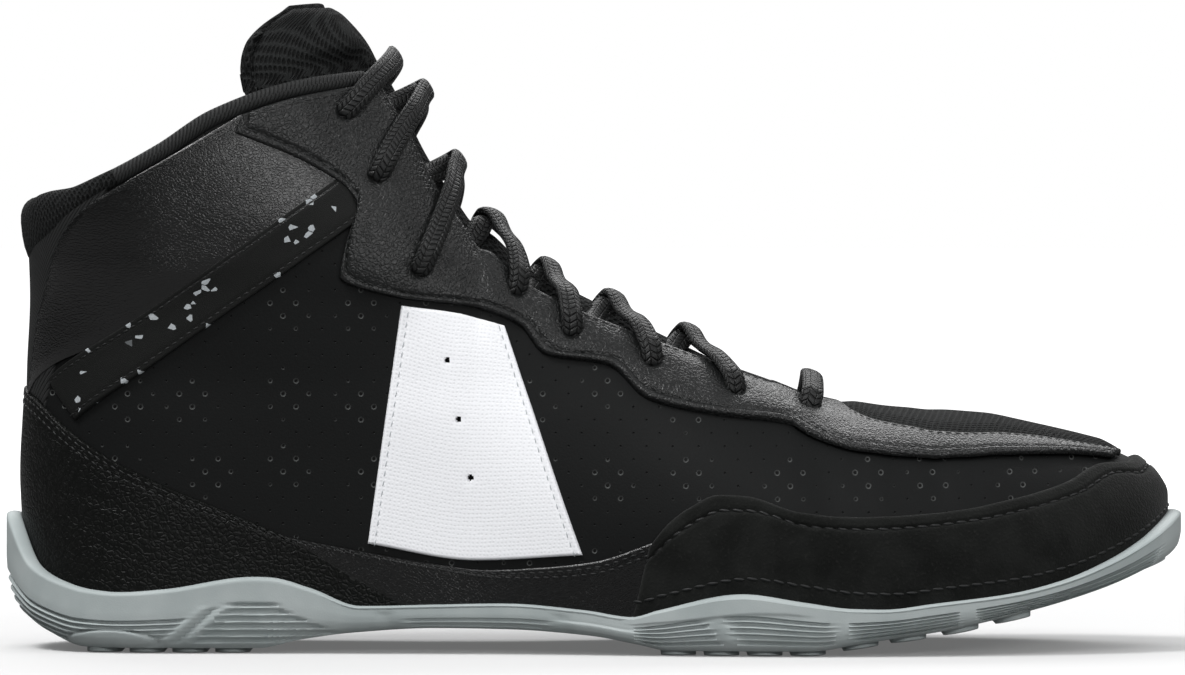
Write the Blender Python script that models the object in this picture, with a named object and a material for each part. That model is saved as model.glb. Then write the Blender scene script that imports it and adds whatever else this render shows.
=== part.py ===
# Wrestling shoe, right foot: a grey cup outsole, a hollow mid-cut upper with its overlays,
# a padded tongue, a collar roll, an insole and the crossings of one lace.
# Metres, +Z up, toe along +X, medial side along +Y, origin under the middle of the shoe.
import math

import bmesh
import bpy
import numpy as np

# driving sizes
SHOE_LENGTH = 0.286
BALL_WIDTH = 0.100
HEEL_WIDTH = 0.069
ANKLE_WIDTH = 0.068
INSTEP_HEIGHT = 0.102
COLLAR_HEIGHT = 0.140
TONGUE_HEIGHT = 0.157

UPPER_WALL = 0.0018
OVERLAY_THICKNESS = 0.0012
OVERLAY_GAP = 0.0007
CUP_GAP = 0.0007
BED_GAP = 0.0006
ROLL_GAP = 0.0005
TONGUE_GAP = 0.0016
LACE_GAP = 0.0006
RIM_THICKNESS = 0.0022
INSOLE_THICKNESS = 0.0035
TONGUE_THICKNESS = 0.0045
TONGUE_PADDING = 0.0035
LUG_DEPTH = 0.0013
LUG_LENGTH = 0.0085
RIB_DEPTH = 0.0008
HEEL_ROUND = 0.038
TOE_ROUND = 0.047
WIDEST_HEIGHT = 0.021
SOLE_SIDE_INSET = 0.0035
SOLE_END_INSET = 0.0085
HOLE_DIAMETER = 0.0042
LACE_WIDTH = 0.0052
LACE_THICKNESS = 0.0022
LACE_TUCK = 0.40
SEAM_GAP = 0.0008

# the outside of the sole stands this far outside the upper's own face
CUP_INSET = RIM_THICKNESS + CUP_GAP + OVERLAY_THICKNESS + OVERLAY_GAP
SHAFT_HEIGHT = COLLAR_HEIGHT - INSTEP_HEIGHT

# heights in the tables are levels: 0 is the floor, INSTEP_LEVEL the instep and 1 the collar
INSTEP_LEVEL = 0.7286

# powers of the rounded sections: across the foot, over the instep, round heel and toe
SIDE_POWER = 2.2
TOP_POWER = 2.3
END_POWER = 2.4

# along (share of length), spread (0 heel width, 1 ball width), lean (share of ball width)
PLAN = (
    (0.00, -0.15, 0.010),
    (0.12, 0.02, 0.008),
    (0.25, 0.00, 0.002),
    (0.38, -0.02, -0.022),
    (0.50, 0.26, -0.030),
    (0.60, 0.72, -0.024),
    (0.67, 0.93, -0.010),
    (0.73, 0.99, 0.008),
    (0.80, 0.90, 0.024),
    (0.88, 0.64, 0.044),
    (1.00, 0.26, 0.070),
)

# along, foot (share of instep height), shaft (share of the height above the instep)
RIDGE = (
    (0.000, 1.0, 8.00),
    (0.150, 1.0, 4.90),
    (0.250, 1.0, 2.30),
    (0.289, 1.0, 1.42),
    (0.316, 1.0, 1.06),
    (0.336, 1.0, 0.82),
    (0.360, 1.0, 0.46),
    (0.383, 1.0, 0.20),
    (0.405, 1.0, 0.00),
    (0.438, 0.927, 0.00),
    (0.472, 0.870, 0.00),
    (0.506, 0.822, 0.00),
    (0.560, 0.748, 0.00),
    (0.628, 0.658, 0.00),
    (0.676, 0.604, 0.00),
    (0.710, 0.572, 0.00),
    (0.748, 0.558, 0.00),
    (0.791, 0.549, 0.00),
    (0.833, 0.536, 0.00),
    (0.876, 0.513, 0.00),
    (0.918, 0.486, 0.00),
    (0.950, 0.458, 0.00),
    (0.972, 0.416, 0.00),
    (0.986, 0.360, 0.00),
    (1.000, 0.300, 0.00),
)

# level, back (share of length, forward of the sole's cup),
# ankle (0 foot width, 1 ankle width), waist (share of width lost)
SHAFT = (
    (0.00, 0.0000, 0.0, 0.00),
    (0.20, 0.0000, 0.0, 0.00),
    (0.30, -0.0015, 0.1, 0.01),
    (0.40, 0.0002, 0.3, 0.03),
    (0.48, 0.0020, 0.5, 0.05),
    (0.60, 0.0053, 0.8, 0.04),
    (0.68, 0.0040, 1.0, 0.02),
    (0.76, 0.0015, 1.0, 0.00),
    (1.00, -0.0030, 1.0, 0.00),
    (1.30, -0.0080, 1.0, 0.00),
)

# along, level of the edge, roll height (share of collar height)
COLLAR = (
    (0.010, 0.770, 0.096),
    (0.035, 0.787, 0.060),
    (0.064, 0.800, 0.042),
    (0.098, 0.828, 0.027),
    (0.141, 0.874, 0.024),
    (0.185, 0.932, 0.024),
    (0.247, 0.978, 0.024),
    (0.315, 1.004, 0.024),
)

# along the collar from the heel (0) to its front corner (1), roll width (share of ankle width),
# and how far the roll bulges out (share of ankle width)
ROLL = (
    (0.00, 0.150, 0.026),
    (0.22, 0.130, 0.022),
    (0.42, 0.090, 0.012),
    (0.60, 0.062, 0.012),
    (1.00, 0.056, 0.012),
)

# along, half width of the throat (share of ball width)
THROAT = (
    (0.313, 0.130),
    (0.360, 0.140),
    (0.450, 0.150),
    (0.550, 0.140),
    (0.650, 0.115),
    (0.715, 0.095),
)
CORNER_ALONG = THROAT[0][0]
THROAT_END = THROAT[-1][0]
CORNER_TURN = 0.36

# along, rim top, cup floor and underside (each a share of instep height), tread (1 where lugs are)
SOLE = (
    (0.000, 0.325, 0.120, 0.140, 0),
    (0.021, 0.205, 0.105, 0.062, 0),
    (0.043, 0.170, 0.095, 0.021, 0),
    (0.070, 0.142, 0.088, 0.000, 1),
    (0.128, 0.152, 0.088, 0.000, 1),
    (0.204, 0.181, 0.092, 0.000, 1),
    (0.218, 0.180, 0.092, 0.000, 1),
    (0.255, 0.154, 0.088, 0.021, 0),
    (0.298, 0.113, 0.082, 0.037, 0),
    (0.366, 0.117, 0.084, 0.048, 0),
    (0.425, 0.120, 0.084, 0.046, 0),
    (0.493, 0.106, 0.070, 0.033, 0),
    (0.535, 0.091, 0.060, 0.012, 0),
    (0.558, 0.108, 0.060, 0.000, 1),
    (0.629, 0.147, 0.062, 0.000, 1),
    (0.680, 0.128, 0.062, 0.000, 1),
    (0.720, 0.113, 0.066, 0.016, 1),
    (0.748, 0.111, 0.075, 0.028, 1),
    (0.791, 0.124, 0.092, 0.045, 1),
    (0.855, 0.145, 0.118, 0.082, 1),
    (0.897, 0.171, 0.142, 0.110, 0),
    (0.940, 0.217, 0.174, 0.147, 0),
    (0.972, 0.266, 0.200, 0.190, 0),
    (1.000, 0.326, 0.225, 0.250, 0),
)

# drop from the rim (0) to the underside (1), inset (share), recess (1 in a groove)
SIDE_ROWS = (
    (0.00, 0.12, 0),
    (0.09, 0.00, 0),
    (0.40, 0.00, 0),
    (0.42, 0.00, 1),
    (0.53, 0.03, 1),
    (0.55, 0.03, 0),
    (0.61, 0.07, 0),
    (0.63, 0.08, 1),
    (0.74, 0.16, 1),
    (0.76, 0.18, 0),
    (0.84, 0.34, 0),
    (1.00, 1.00, 0),
)

# struts between the rib windows: start and end (shares of length)
STRUTS = (
    (0.136, 0.166),
    (0.285, 0.345),
    (0.465, 0.545),
    (0.595, 0.612),
    (0.706, 0.723),
    (0.812, 0.829),
)

LUG_PLACES = (0.088, 0.124, 0.160, 0.196, 0.570, 0.606, 0.642, 0.672, 0.722, 0.762, 0.806, 0.850)

# lace holes from the collar down: along, level, and where the lace
# from them passes the ridge (share of length)
HOLES = (
    (0.288, 0.925, 0.318),
    (0.316, 0.815, 0.353),
    (0.352, 0.655, 0.386),
    (0.433, 0.617, 0.432),
    (0.480, 0.546, 0.482),
    (0.548, 0.495, 0.540),
    (0.618, 0.444, 0.608),
    (0.680, 0.418, 0.678),
)

# tongue from its front end up: centre along, centre height (share of tongue height, or 0 on the
# ridge), wing back (share of length), wing drop (share of tongue height),
# half width (share of ankle width), hug (1 follows the upper, 0 stands free)
TONGUE = (
    (0.755, 0.0, 0.000, 0.01, 0.14, 1.0),
    (0.690, 0.0, 0.000, 0.03, 0.20, 1.0),
    (0.620, 0.0, 0.000, 0.04, 0.25, 1.0),
    (0.550, 0.0, 0.000, 0.05, 0.29, 1.0),
    (0.480, 0.0, 0.010, 0.07, 0.32, 1.0),
    (0.430, 0.0, 0.020, 0.08, 0.33, 1.0),
    (0.395, 0.0, 0.040, 0.07, 0.34, 1.0),
    (0.360, 0.76, 0.075, 0.05, 0.35, 1.0),
    (0.336, 0.84, 0.100, 0.03, 0.35, 1.0),
    (0.319, 0.885, 0.110, 0.05, 0.345, 0.5),
    (0.307, 0.930, 0.105, 0.04, 0.335, 0.0),
    (0.293, 0.962, 0.088, 0.03, 0.30, 0.0),
    (0.277, 0.988, 0.055, 0.02, 0.23, 0.0),
    (0.263, 1.000, 0.020, 0.005, 0.12, 0.0),
)

# overlay edges on the side: along, level
COUNTER_TOP = (
    (0.241, 0.200), (0.224, 0.215), (0.178, 0.255), (0.137, 0.290),
    (0.091, 0.336), (0.055, 0.386), (0.030, 0.432),
)
COUNTER_BACK = 0.455
COUNTER_FOOT = 0.350
ARCH_TOP = (
    (0.241, 0.200), (0.304, 0.177), (0.360, 0.157), (0.410, 0.145),
    (0.456, 0.150), (0.501, 0.161), (0.546, 0.186),
)
RAND_TOP = (
    (0.546, 0.186), (0.563, 0.228), (0.582, 0.256), (0.603, 0.274), (0.625, 0.272),
    (0.672, 0.244), (0.725, 0.236), (0.804, 0.247), (0.849, 0.264), (0.895, 0.290), (0.925, 0.318),
)
RAND_FOOT = 0.537
RAND_CENTRE = 0.957
STRAP_TOP = ((0.040, 0.468), (0.155, 0.632), (0.270, 0.796))
STRAP_FOOT = ((0.064, 0.398), (0.174, 0.556), (0.285, 0.714))
SADDLE_TOP = ((0.338, 0.596), (0.385, 0.582), (0.424, 0.560))
SADDLE_FOOT = ((0.310, 0.188), (0.400, 0.160), (0.490, 0.170))

# eyestay: lower edge along, level, and along on the throat or collar
EYESTAY = (
    (0.198, 0.890, 0.205),
    (0.251, 0.846, 0.250),
    (0.292, 0.792, 0.285),
    (0.300, 0.762, 0.318),
    (0.290, 0.694, 0.342),
    (0.286, 0.645, 0.362),
    (0.330, 0.611, 0.400),
    (0.400, 0.590, 0.440),
    (0.436, 0.560, 0.470),
    (0.459, 0.510, 0.505),
    (0.510, 0.492, 0.540),
    (0.545, 0.434, 0.580),
    (0.600, 0.408, 0.625),
    (0.660, 0.392, 0.665),
    (0.700, 0.372, 0.690),
    (0.728, 0.380, 0.702),
)

ROUND_STATIONS = 29
UPPER_ROWS = 10
LOW_ROWS = 1.25

# colour (linear), roughness
FINISHES = {
    "rubber": ((0.235, 0.258, 0.258, 1.0), 0.55),
    "synthetic": ((0.014, 0.015, 0.015, 1.0), 0.62),
    "leather": ((0.010, 0.011, 0.011, 1.0), 0.42),
    "suede": ((0.009, 0.009, 0.009, 1.0), 0.95),
    "mesh": ((0.006, 0.006, 0.006, 1.0), 0.90),
    "foam": ((0.020, 0.020, 0.020, 1.0), 0.90),
    "white_synthetic": ((0.80, 0.81, 0.83, 1.0), 0.45),
    "lace": ((0.005, 0.005, 0.005, 1.0), 0.85),
}


def smooth(table, at):
    """Read the columns of a table at some places, with smooth rises that never overshoot."""
    rows = np.array(table, dtype=float)
    place, value = rows[:, 0], rows[:, 1:]
    step = np.diff(place)[:, None]
    rise = np.diff(value, axis=0) / step
    slope = np.zeros_like(value)
    slope[0], slope[-1] = rise[0], rise[-1]
    same = rise[:-1] * rise[1:] > 0
    total = np.where(same, rise[:-1] + rise[1:], 1.0)
    slope[1:-1] = np.where(same, 2 * rise[:-1] * rise[1:] / total, 0.0)
    at = np.clip(np.asarray(at, dtype=float), place[0], place[-1])
    row = np.clip(np.searchsorted(place, at, side="right") - 1, 0, len(place) - 2)
    width = step[row]
    turn = ((at - place[row])[..., None]) / width
    low, high = value[row], value[row + 1]
    low_slope, high_slope = slope[row] * width, slope[row + 1] * width
    bend = turn * turn * (3 - 2 * turn)
    lift = turn * (1 - turn) ** 2 * low_slope - turn * turn * (1 - turn) * high_slope
    return low + (high - low) * bend + lift


def through(points, count, even=True):
    """Read count points from a smooth curve through some points, by length or point by point."""
    points = np.array(points, dtype=float)
    place = np.arange(len(points), dtype=float)
    if even:
        place = np.append(0.0, np.cumsum(np.linalg.norm(np.diff(points, axis=0), axis=1)))
    return smooth(np.column_stack((place, points)), np.linspace(0, place[-1], count))


def outline_widths(x):
    """Centre line and half width of the sole seen from above, before its ends are rounded."""
    spread, lean = np.moveaxis(smooth(PLAN, x / SHOE_LENGTH), -1, 0)
    half = (HEEL_WIDTH + spread * (BALL_WIDTH - HEEL_WIDTH)) / 2
    return lean * BALL_WIDTH, half


def box_middle():
    """Middle of the sole across, so that the origin stands under it."""
    centre, half = outline_widths(np.linspace(0.3, 0.9, 400) * SHOE_LENGTH)
    return ((centre + half).max() + (centre - half).min()) / 2


BOX_MIDDLE = box_middle()


def height_of(level):
    foot = np.minimum(level, INSTEP_LEVEL) / INSTEP_LEVEL
    shaft = np.maximum(level - INSTEP_LEVEL, 0) / (1 - INSTEP_LEVEL)
    return foot * INSTEP_HEIGHT + shaft * SHAFT_HEIGHT


def level_of(height):
    foot = np.minimum(height, INSTEP_HEIGHT) / INSTEP_HEIGHT
    shaft = np.maximum(height - INSTEP_HEIGHT, 0) / SHAFT_HEIGHT
    return foot * INSTEP_LEVEL + shaft * (1 - INSTEP_LEVEL)


def ridge_height(x):
    foot, shaft = np.moveaxis(smooth(RIDGE, x / SHOE_LENGTH), -1, 0)
    return foot * INSTEP_HEIGHT + shaft * SHAFT_HEIGHT


def section(x, z):
    """Centre, half width, rounding of the ends and climb to the ridge at a place seen from the side."""
    back, ankle, waist = np.moveaxis(smooth(SHAFT, level_of(z)), -1, 0)
    centre, half = outline_widths(x)
    half = half - CUP_INSET
    half = (half + (ANKLE_WIDTH / 2 - half) * ankle) * (1 - waist)
    behind = CUP_INSET + back * SHOE_LENGTH
    heel = np.clip(1 - (x - behind) / HEEL_ROUND, 0, None)
    toe = np.clip(1 - (SHOE_LENGTH - CUP_INSET - x) / TOE_ROUND, 0, None)
    ends = heel ** END_POWER + toe ** END_POWER
    ridge = ridge_height(x)
    climb = np.clip((z - WIDEST_HEIGHT) / (ridge - WIDEST_HEIGHT), 0, None) ** TOP_POWER
    return centre - BOX_MIDDLE, half, ends, climb


def form(points):
    """Below 1 inside the upper's outer face, 1 on it and above 1 outside."""
    x, y, z = np.moveaxis(points, -1, 0)
    centre, half, ends, climb = section(x, z)
    across = (np.abs(y - centre) / half) ** SIDE_POWER
    return across + climb * (1 - np.clip(ends, 0, 1)) + ends


def outward(points):
    """Unit normals of the form."""
    step = 0.0002
    slope = np.empty_like(points)
    for axis in range(3):
        shift = np.zeros(3)
        shift[axis] = step
        slope[..., axis] = form(points + shift) - form(points - shift)
    return slope / np.maximum(np.linalg.norm(slope, axis=-1, keepdims=True), 1e-12)


def settle(points, height=0.0):
    """Move points along the form's slope onto its face, then out by a height."""
    points = np.array(points, dtype=float)
    direction = outward(points)
    low = np.full(points.shape[:-1], -0.035)
    high = np.full(points.shape[:-1], 0.050)
    for _ in range(40):
        middle = (low + high) / 2
        outside = form(points + direction * middle[..., None]) > 1
        high = np.where(outside, middle, high)
        low = np.where(outside, low, middle)
    points = points + direction * low[..., None]
    height = np.asarray(height, dtype=float)
    return points + outward(points) * height[..., None]


def at_side(x, z, side):
    """The point of the upper's face at a place seen from the side: side is -1 lateral, 1 medial."""
    x, z = np.broadcast_arrays(np.asarray(x, float), np.asarray(z, float))
    centre, half, ends, climb = section(x, z)
    room = np.clip((1 - ends) * (1 - climb), 0, 1)
    return np.stack((x, centre + side * half * room ** (1 / SIDE_POWER), z), axis=-1)


def from_above(x, y):
    """The point of the upper's top face under a place seen from above."""
    x, y = np.broadcast_arrays(np.asarray(x, float), np.asarray(y, float))
    low = np.full(x.shape, WIDEST_HEIGHT)
    high = ridge_height(x)
    for _ in range(40):
        middle = (low + high) / 2
        outside = form(np.stack((x, y, middle), axis=-1)) > 1
        high = np.where(outside, middle, high)
        low = np.where(outside, low, middle)
    return np.stack((x, y, low), axis=-1)


def centre_line(x):
    return outline_widths(np.asarray(x, float))[0] - BOX_MIDDLE


def sole_heights(x):
    rim, floor, under, tread = np.moveaxis(smooth(SOLE, x / SHOE_LENGTH), -1, 0)
    heights = np.stack((rim, floor, under, under)) * INSTEP_HEIGHT
    heights[3] += LUG_DEPTH * tread
    return heights


def around(x, height, side):
    """Points of the upper's face low down, beside the sole."""
    return at_side(x, np.minimum(height, WIDEST_HEIGHT), side) * (1, 1, 0) + np.stack(
        (np.zeros_like(x), np.zeros_like(x), height), axis=-1)


def side_stations(count):
    """Places along the shoe, closer at heel and toe."""
    turn = np.linspace(0, math.pi, count)
    run = SHOE_LENGTH - 2 * CUP_INSET
    return CUP_INSET + run * (1 - np.cos(turn)) / 2


def loop_of(lateral, medial):
    """One loop from the heel along the lateral side to the toe and back along the medial side."""
    return np.concatenate((lateral, medial[..., -2:0:-1, :]), axis=-2)


def top_line(count, side):
    """The upper's top edge on one side, from the heel to the front end of the throat."""
    turn = np.linspace(0, 1, count)
    corner = CORNER_ALONG * SHOE_LENGTH
    heel_height = height_of(COLLAR[0][1]) - COLLAR[0][2] * COLLAR_HEIGHT
    heel_back = shaft_back(heel_height)
    part = np.clip(turn / CORNER_TURN, 0, 1)
    x = heel_back + (corner - heel_back) * (1 - np.cos(part * math.pi / 2))
    edge, roll = np.moveaxis(smooth(COLLAR, x / SHOE_LENGTH), -1, 0)
    collar = at_side(x, height_of(edge) - roll * COLLAR_HEIGHT - ROLL_GAP, side)
    collar[0, 1] = centre_line(x[0])
    part = np.clip((turn - CORNER_TURN) / (1 - CORNER_TURN), 0, 1)
    x = corner + (THROAT_END * SHOE_LENGTH - corner) * np.sin(part * math.pi / 2)
    return np.where((turn <= CORNER_TURN)[:, None], collar, throat_edge(x, side, 0.0))


def shaft_back(z):
    back = smooth(SHAFT, level_of(np.asarray(z, float)))[..., 0]
    return CUP_INSET + back * SHOE_LENGTH


def throat_edge(x, side, margin):
    """Edge of the throat, rounded at its front end, moved out by a margin."""
    half = smooth(THROAT, x / SHOE_LENGTH)[..., 0] * BALL_WIDTH
    end = THROAT_END * SHOE_LENGTH
    left = np.clip((end - x) / half, 0, 1)
    half = half * np.sqrt(1 - (1 - left) ** 2) + margin
    return from_above(x, centre_line(x) + side * half)


class Solid:
    """Points and faces of one closed body, gathered grid by grid."""

    def __init__(self):
        self.points = []
        self.faces = []

    def grid(self, points):
        points = np.asarray(points, dtype=float)
        first = len(self.points)
        self.points.extend(points.reshape(-1, 3).tolist())
        return np.arange(first, len(self.points)).reshape(points.shape[:-1])

    def skin(self, index, closed=False):
        if closed:
            index = np.concatenate((index, index[:, :1]), axis=1)
        corners = (index[:-1, :-1], index[:-1, 1:], index[1:, 1:], index[1:, :-1])
        self.faces.extend(np.stack(corners, axis=-1).reshape(-1, 4).tolist())

    def floor(self, loop, points, columns):
        """Fill a loop with strips across, keeping the heights of the loop's two sides."""
        count = len(loop) // 2 + 1
        lateral = loop[:count]
        medial = np.concatenate((loop[:1], loop[:count - 2:-1]))
        inner = slice(1, count - 1)
        share = np.linspace(0, 1, columns + 1)[1:-1, None, None]
        low = points[:count][inner]
        high = np.concatenate((points[:1], points[:count - 2:-1]))[inner]
        middle = self.grid(low + (high - low) * share)
        strips = np.concatenate((lateral[None, inner], middle, medial[None, inner]))
        self.skin(strips)
        for end, row in ((lateral[0], strips[:, 0]), (lateral[-1], strips[:, -1])):
            for one, two in zip(row[:-1], row[1:]):
                self.faces.append([int(end), int(one), int(two)])

    def make(self, name, finish):
        mesh = bpy.data.meshes.new(name)
        mesh.from_pydata((np.array(self.points) - (SHOE_LENGTH / 2, 0, 0)).tolist(), [], self.faces)
        face_out(mesh)
        mesh.shade_smooth()
        mesh.set_sharp_from_angle(angle=math.radians(40))
        piece = bpy.data.objects.new(name, mesh)
        bpy.context.scene.collection.objects.link(piece)
        mesh.materials.append(material(finish))
        return piece


def face_out(mesh):
    """Turn every face of a closed body outwards."""
    body = bmesh.new()
    body.from_mesh(mesh)
    bmesh.ops.recalc_face_normals(body, faces=body.faces)
    if body.calc_volume(signed=True) < 0:
        bmesh.ops.reverse_faces(body, faces=body.faces)
    body.to_mesh(mesh)
    body.free()


def material(finish):
    existing = bpy.data.materials.get(finish)
    if existing:
        return existing
    made = bpy.data.materials.new(finish)
    made.use_nodes = True
    shader = made.node_tree.nodes["Principled BSDF"]
    color, roughness = FINISHES[finish]
    shader.inputs["Base Color"].default_value = color
    shader.inputs["Roughness"].default_value = roughness
    shader.inputs["Metallic"].default_value = 0.0
    return made


def shell(name, finish, outer, inner, closed=False):
    """A wall between two grids of the same size, shut along its edges."""
    body = Solid()
    out_index, in_index = body.grid(outer), body.grid(inner)
    body.skin(out_index, closed)
    body.skin(in_index[::-1], closed)
    body.skin(np.stack((in_index[0], out_index[0])), closed)
    body.skin(np.stack((out_index[-1], in_index[-1])), closed)
    if not closed:
        body.skin(np.stack((out_index[:, 0], in_index[:, 0])))
        body.skin(np.stack((in_index[:, -1], out_index[:, -1])))
    return body.make(name, finish)


def hide(piece):
    piece.hide_render = True
    piece.display_type = "WIRE"
    return piece


def combine(piece, other, operation, solver="EXACT"):
    cut = piece.modifiers.new(other.name, "BOOLEAN")
    cut.operation = operation
    cut.solver = solver
    cut.object = other
    hide(other)


def make_upper():
    """Hollow upper: an outer and an inner face from the feather edge up to collar and throat."""
    x = side_stations(ROUND_STATIONS)
    feather = sole_heights(x)[1] + BED_GAP
    sides = []
    for side in (-1, 1):
        foot = around(x, feather, side)
        top = top_line(ROUND_STATIONS, side)
        share = np.linspace(0, 1, UPPER_ROWS)[:, None, None] ** LOW_ROWS
        face = settle(foot + (top - foot) * share)
        face[0], face[-1] = foot, top
        sides.append(face)
    face = loop_of(*sides)
    inner = face - outward(face) * UPPER_WALL
    inner[0, :, 2] = face[0, :, 2]
    return shell("upper", "synthetic", face, inner, closed=True)


def sole_stations():
    """Even stations plus a close pair at each end of a strut."""
    even = side_stations(19)
    slope = 0.004
    edges = np.array([place for start, end in STRUTS
                      for place in (start - slope, start, end, end + slope)]) * SHOE_LENGTH
    apart = np.abs(even[:, None] - edges[None, :]).min(axis=1) > 0.008 * SHOE_LENGTH
    return np.sort(np.concatenate((even[apart], edges)))


def window_depth(x):
    """1 in a rib window, 0 on a strut."""
    share = x / SHOE_LENGTH
    depth = np.ones_like(share)
    for start, end in STRUTS:
        depth[(share > start - 0.001) & (share < end + 0.001)] = 0
    return depth


def make_outsole():
    """Cup outsole: floor, inner wall, rim, ribbed side and underside, with fused lugs."""
    x = sole_stations()
    loop = loop_of(around(x, 0 * x, -1), around(x, 0 * x, 1))
    normal = outward(loop + (0, 0, WIDEST_HEIGHT / 2)) * (1, 1, 0)
    stations = np.append(x, x[-2:0:-1])

    def ring(reach, height):
        return loop * (1, 1, 0) + normal * np.reshape(reach, (-1, 1)) + np.stack(
            (np.zeros_like(stations), np.zeros_like(stations), height), axis=-1)

    wall = CUP_INSET - RIM_THICKNESS
    # the table's ends stand for the sole's own tips, which the stations just miss
    reach_out = (stations - CUP_INSET) / (SHOE_LENGTH - 2 * CUP_INSET) * SHOE_LENGTH
    rim = sole_heights(reach_out)[0]
    floor = sole_heights(stations)[1]
    inset = SOLE_SIDE_INSET + (SOLE_END_INSET - SOLE_SIDE_INSET) * normal[:, 0] ** 2
    under_ring = ring(CUP_INSET - inset, 0 * stations)
    under = sole_heights(under_ring[:, 0])[3]
    groove = RIB_DEPTH * window_depth(stations)
    rings = [ring(np.full_like(stations, wall), floor), ring(np.full_like(stations, wall), rim)]
    for drop, back, recess in SIDE_ROWS:
        reach = CUP_INSET - inset * back - groove * recess
        rings.append(ring(reach, rim + (under - rim) * drop))
    body = Solid()
    index = body.grid(np.array(rings))
    body.skin(index, closed=True)
    body.floor(index[0], rings[0], 2)
    body.floor(index[-1], rings[-1], 2)
    sole = body.make("outsole", "rubber")
    for number, place in enumerate(LUG_PLACES):
        combine(sole, make_lug(number, place), "UNION")
    return sole


def make_lug(number, place):
    """One tread bar with round ends, sunk into the underside that carries it."""
    middle = place * SHOE_LENGTH
    half_length = LUG_LENGTH / 2
    ends = np.linspace(-math.pi / 2, math.pi / 2, 4)
    rims = []
    for side in (-1, 1):
        edge = around(np.array([middle]), np.array([0.0]), side)[0, 1]
        tip = edge + side * (CUP_INSET - SOLE_SIDE_INSET - LUG_DEPTH)
        turn = ends if side > 0 else ends + math.pi
        rims.append(np.stack((middle + half_length * np.sin(turn),
                              tip - side * half_length + half_length * np.cos(turn)), axis=-1))
    outline = np.concatenate(rims)
    under = sole_heights(outline[:, 0])[2]
    low = np.column_stack((outline, under))
    high = np.column_stack((outline, under + 2 * LUG_DEPTH))
    body = Solid()
    index = body.grid(np.stack((low, high)))
    body.skin(index, closed=True)
    for row in index:
        body.faces.append(row.tolist())
    return body.make("lug_%d" % number, "rubber")


def make_insole():
    """Flat footbed that lies on the cup's floor inside the upper."""
    x = side_stations(23)
    loop = loop_of(around(x, 0 * x, -1), around(x, 0 * x, 1))
    normal = outward(loop + (0, 0, WIDEST_HEIGHT / 2)) * (1, 1, 0)
    stations = np.append(x, x[-2:0:-1])
    loop = loop - normal * (UPPER_WALL + BED_GAP)
    floor = sole_heights(stations)[1] + BED_GAP
    rings = []
    for height in (0.0, INSOLE_THICKNESS):
        ring = loop.copy()
        ring[:, 2] = floor + height
        rings.append(ring)
    body = Solid()
    index = body.grid(np.array(rings))
    body.skin(index, closed=True)
    body.floor(index[0], rings[0], 3)
    body.floor(index[1], rings[1], 3)
    return body.make("insole", "foam")


def make_tongue():
    """Padded tongue under the throat, wrapped round the shin, with a round top."""
    rows, columns = 20, 9
    table = through(TONGUE, rows, even=False)
    along, high, back, drop, half, hug = (column[:, None] for column in table.T)
    turn = np.linspace(-1, 1, columns)[None, :]
    swing = math.radians(72)
    sideways = np.sin(turn * swing) / math.sin(swing)
    backward = (1 - np.cos(turn * swing)) / (1 - math.cos(swing))
    centre_x = along * SHOE_LENGTH
    ridge = ridge_height(centre_x)
    free_height = high * TONGUE_HEIGHT
    height = ridge * hug + free_height * (1 - hug)
    x = centre_x - back * SHOE_LENGTH * backward
    y = centre_line(centre_x) + half * ANKLE_WIDTH * sideways + 0 * x
    z = height - drop * TONGUE_HEIGHT * backward
    free = np.stack((x, y, z), axis=-1)
    under = UPPER_WALL + TONGUE_GAP
    throat = smooth(THROAT, along)[..., 0] * BALL_WIDTH - LACE_WIDTH
    rise = np.clip(1 - (np.abs(y - centre_line(centre_x)) / throat) ** 2, 0, 1)
    open_front = np.clip((THROAT_END - along) / 0.03 - 1.5, 0, 1)
    inset = -under + (under - 0.0006) * rise * open_front
    held = settle(free, inset)
    face = held * hug[..., None] + free * (1 - hug[..., None])
    # what the upper or the roll covers lies under them
    roll_reach = UPPER_WALL + TONGUE_GAP + ROLL[-1][1] * ANKLE_WIDTH / 2
    edge_height = height_of(smooth(COLLAR, face[..., 0] / SHOE_LENGTH)[..., 0]) + LACE_WIDTH
    below = (face[..., 2] < edge_height) & (np.abs(y - centre_line(centre_x)) > throat)
    depth = np.where(hug + 0 * x < 0.99, roll_reach, under)
    outside = form(face + outward(face) * depth[..., None]) > 1
    face = np.where((below & outside)[..., None], settle(face, -depth), face)
    facing = np.cross(np.gradient(face, axis=1), np.gradient(face, axis=0))
    facing /= np.linalg.norm(facing, axis=-1, keepdims=True)
    facing *= np.sign((facing * outward(face)).sum())
    edge = np.sqrt(np.clip(1 - np.abs(turn) ** 4, 0.02, 1))
    thick = TONGUE_THICKNESS + TONGUE_PADDING * np.clip((0.34 - along) / 0.03, 0, 1)
    inner = face - facing * (thick * (0.25 + 0.75 * edge))[..., None]
    return shell("tongue", "mesh", face, inner)


def collar_path(count, side):
    """Top edge of the upper along the collar, with its share of the way from the heel."""
    full = top_line(400, side)
    last = int(CORNER_TURN * 399)
    return through(full[:last + 1], count)


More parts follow.
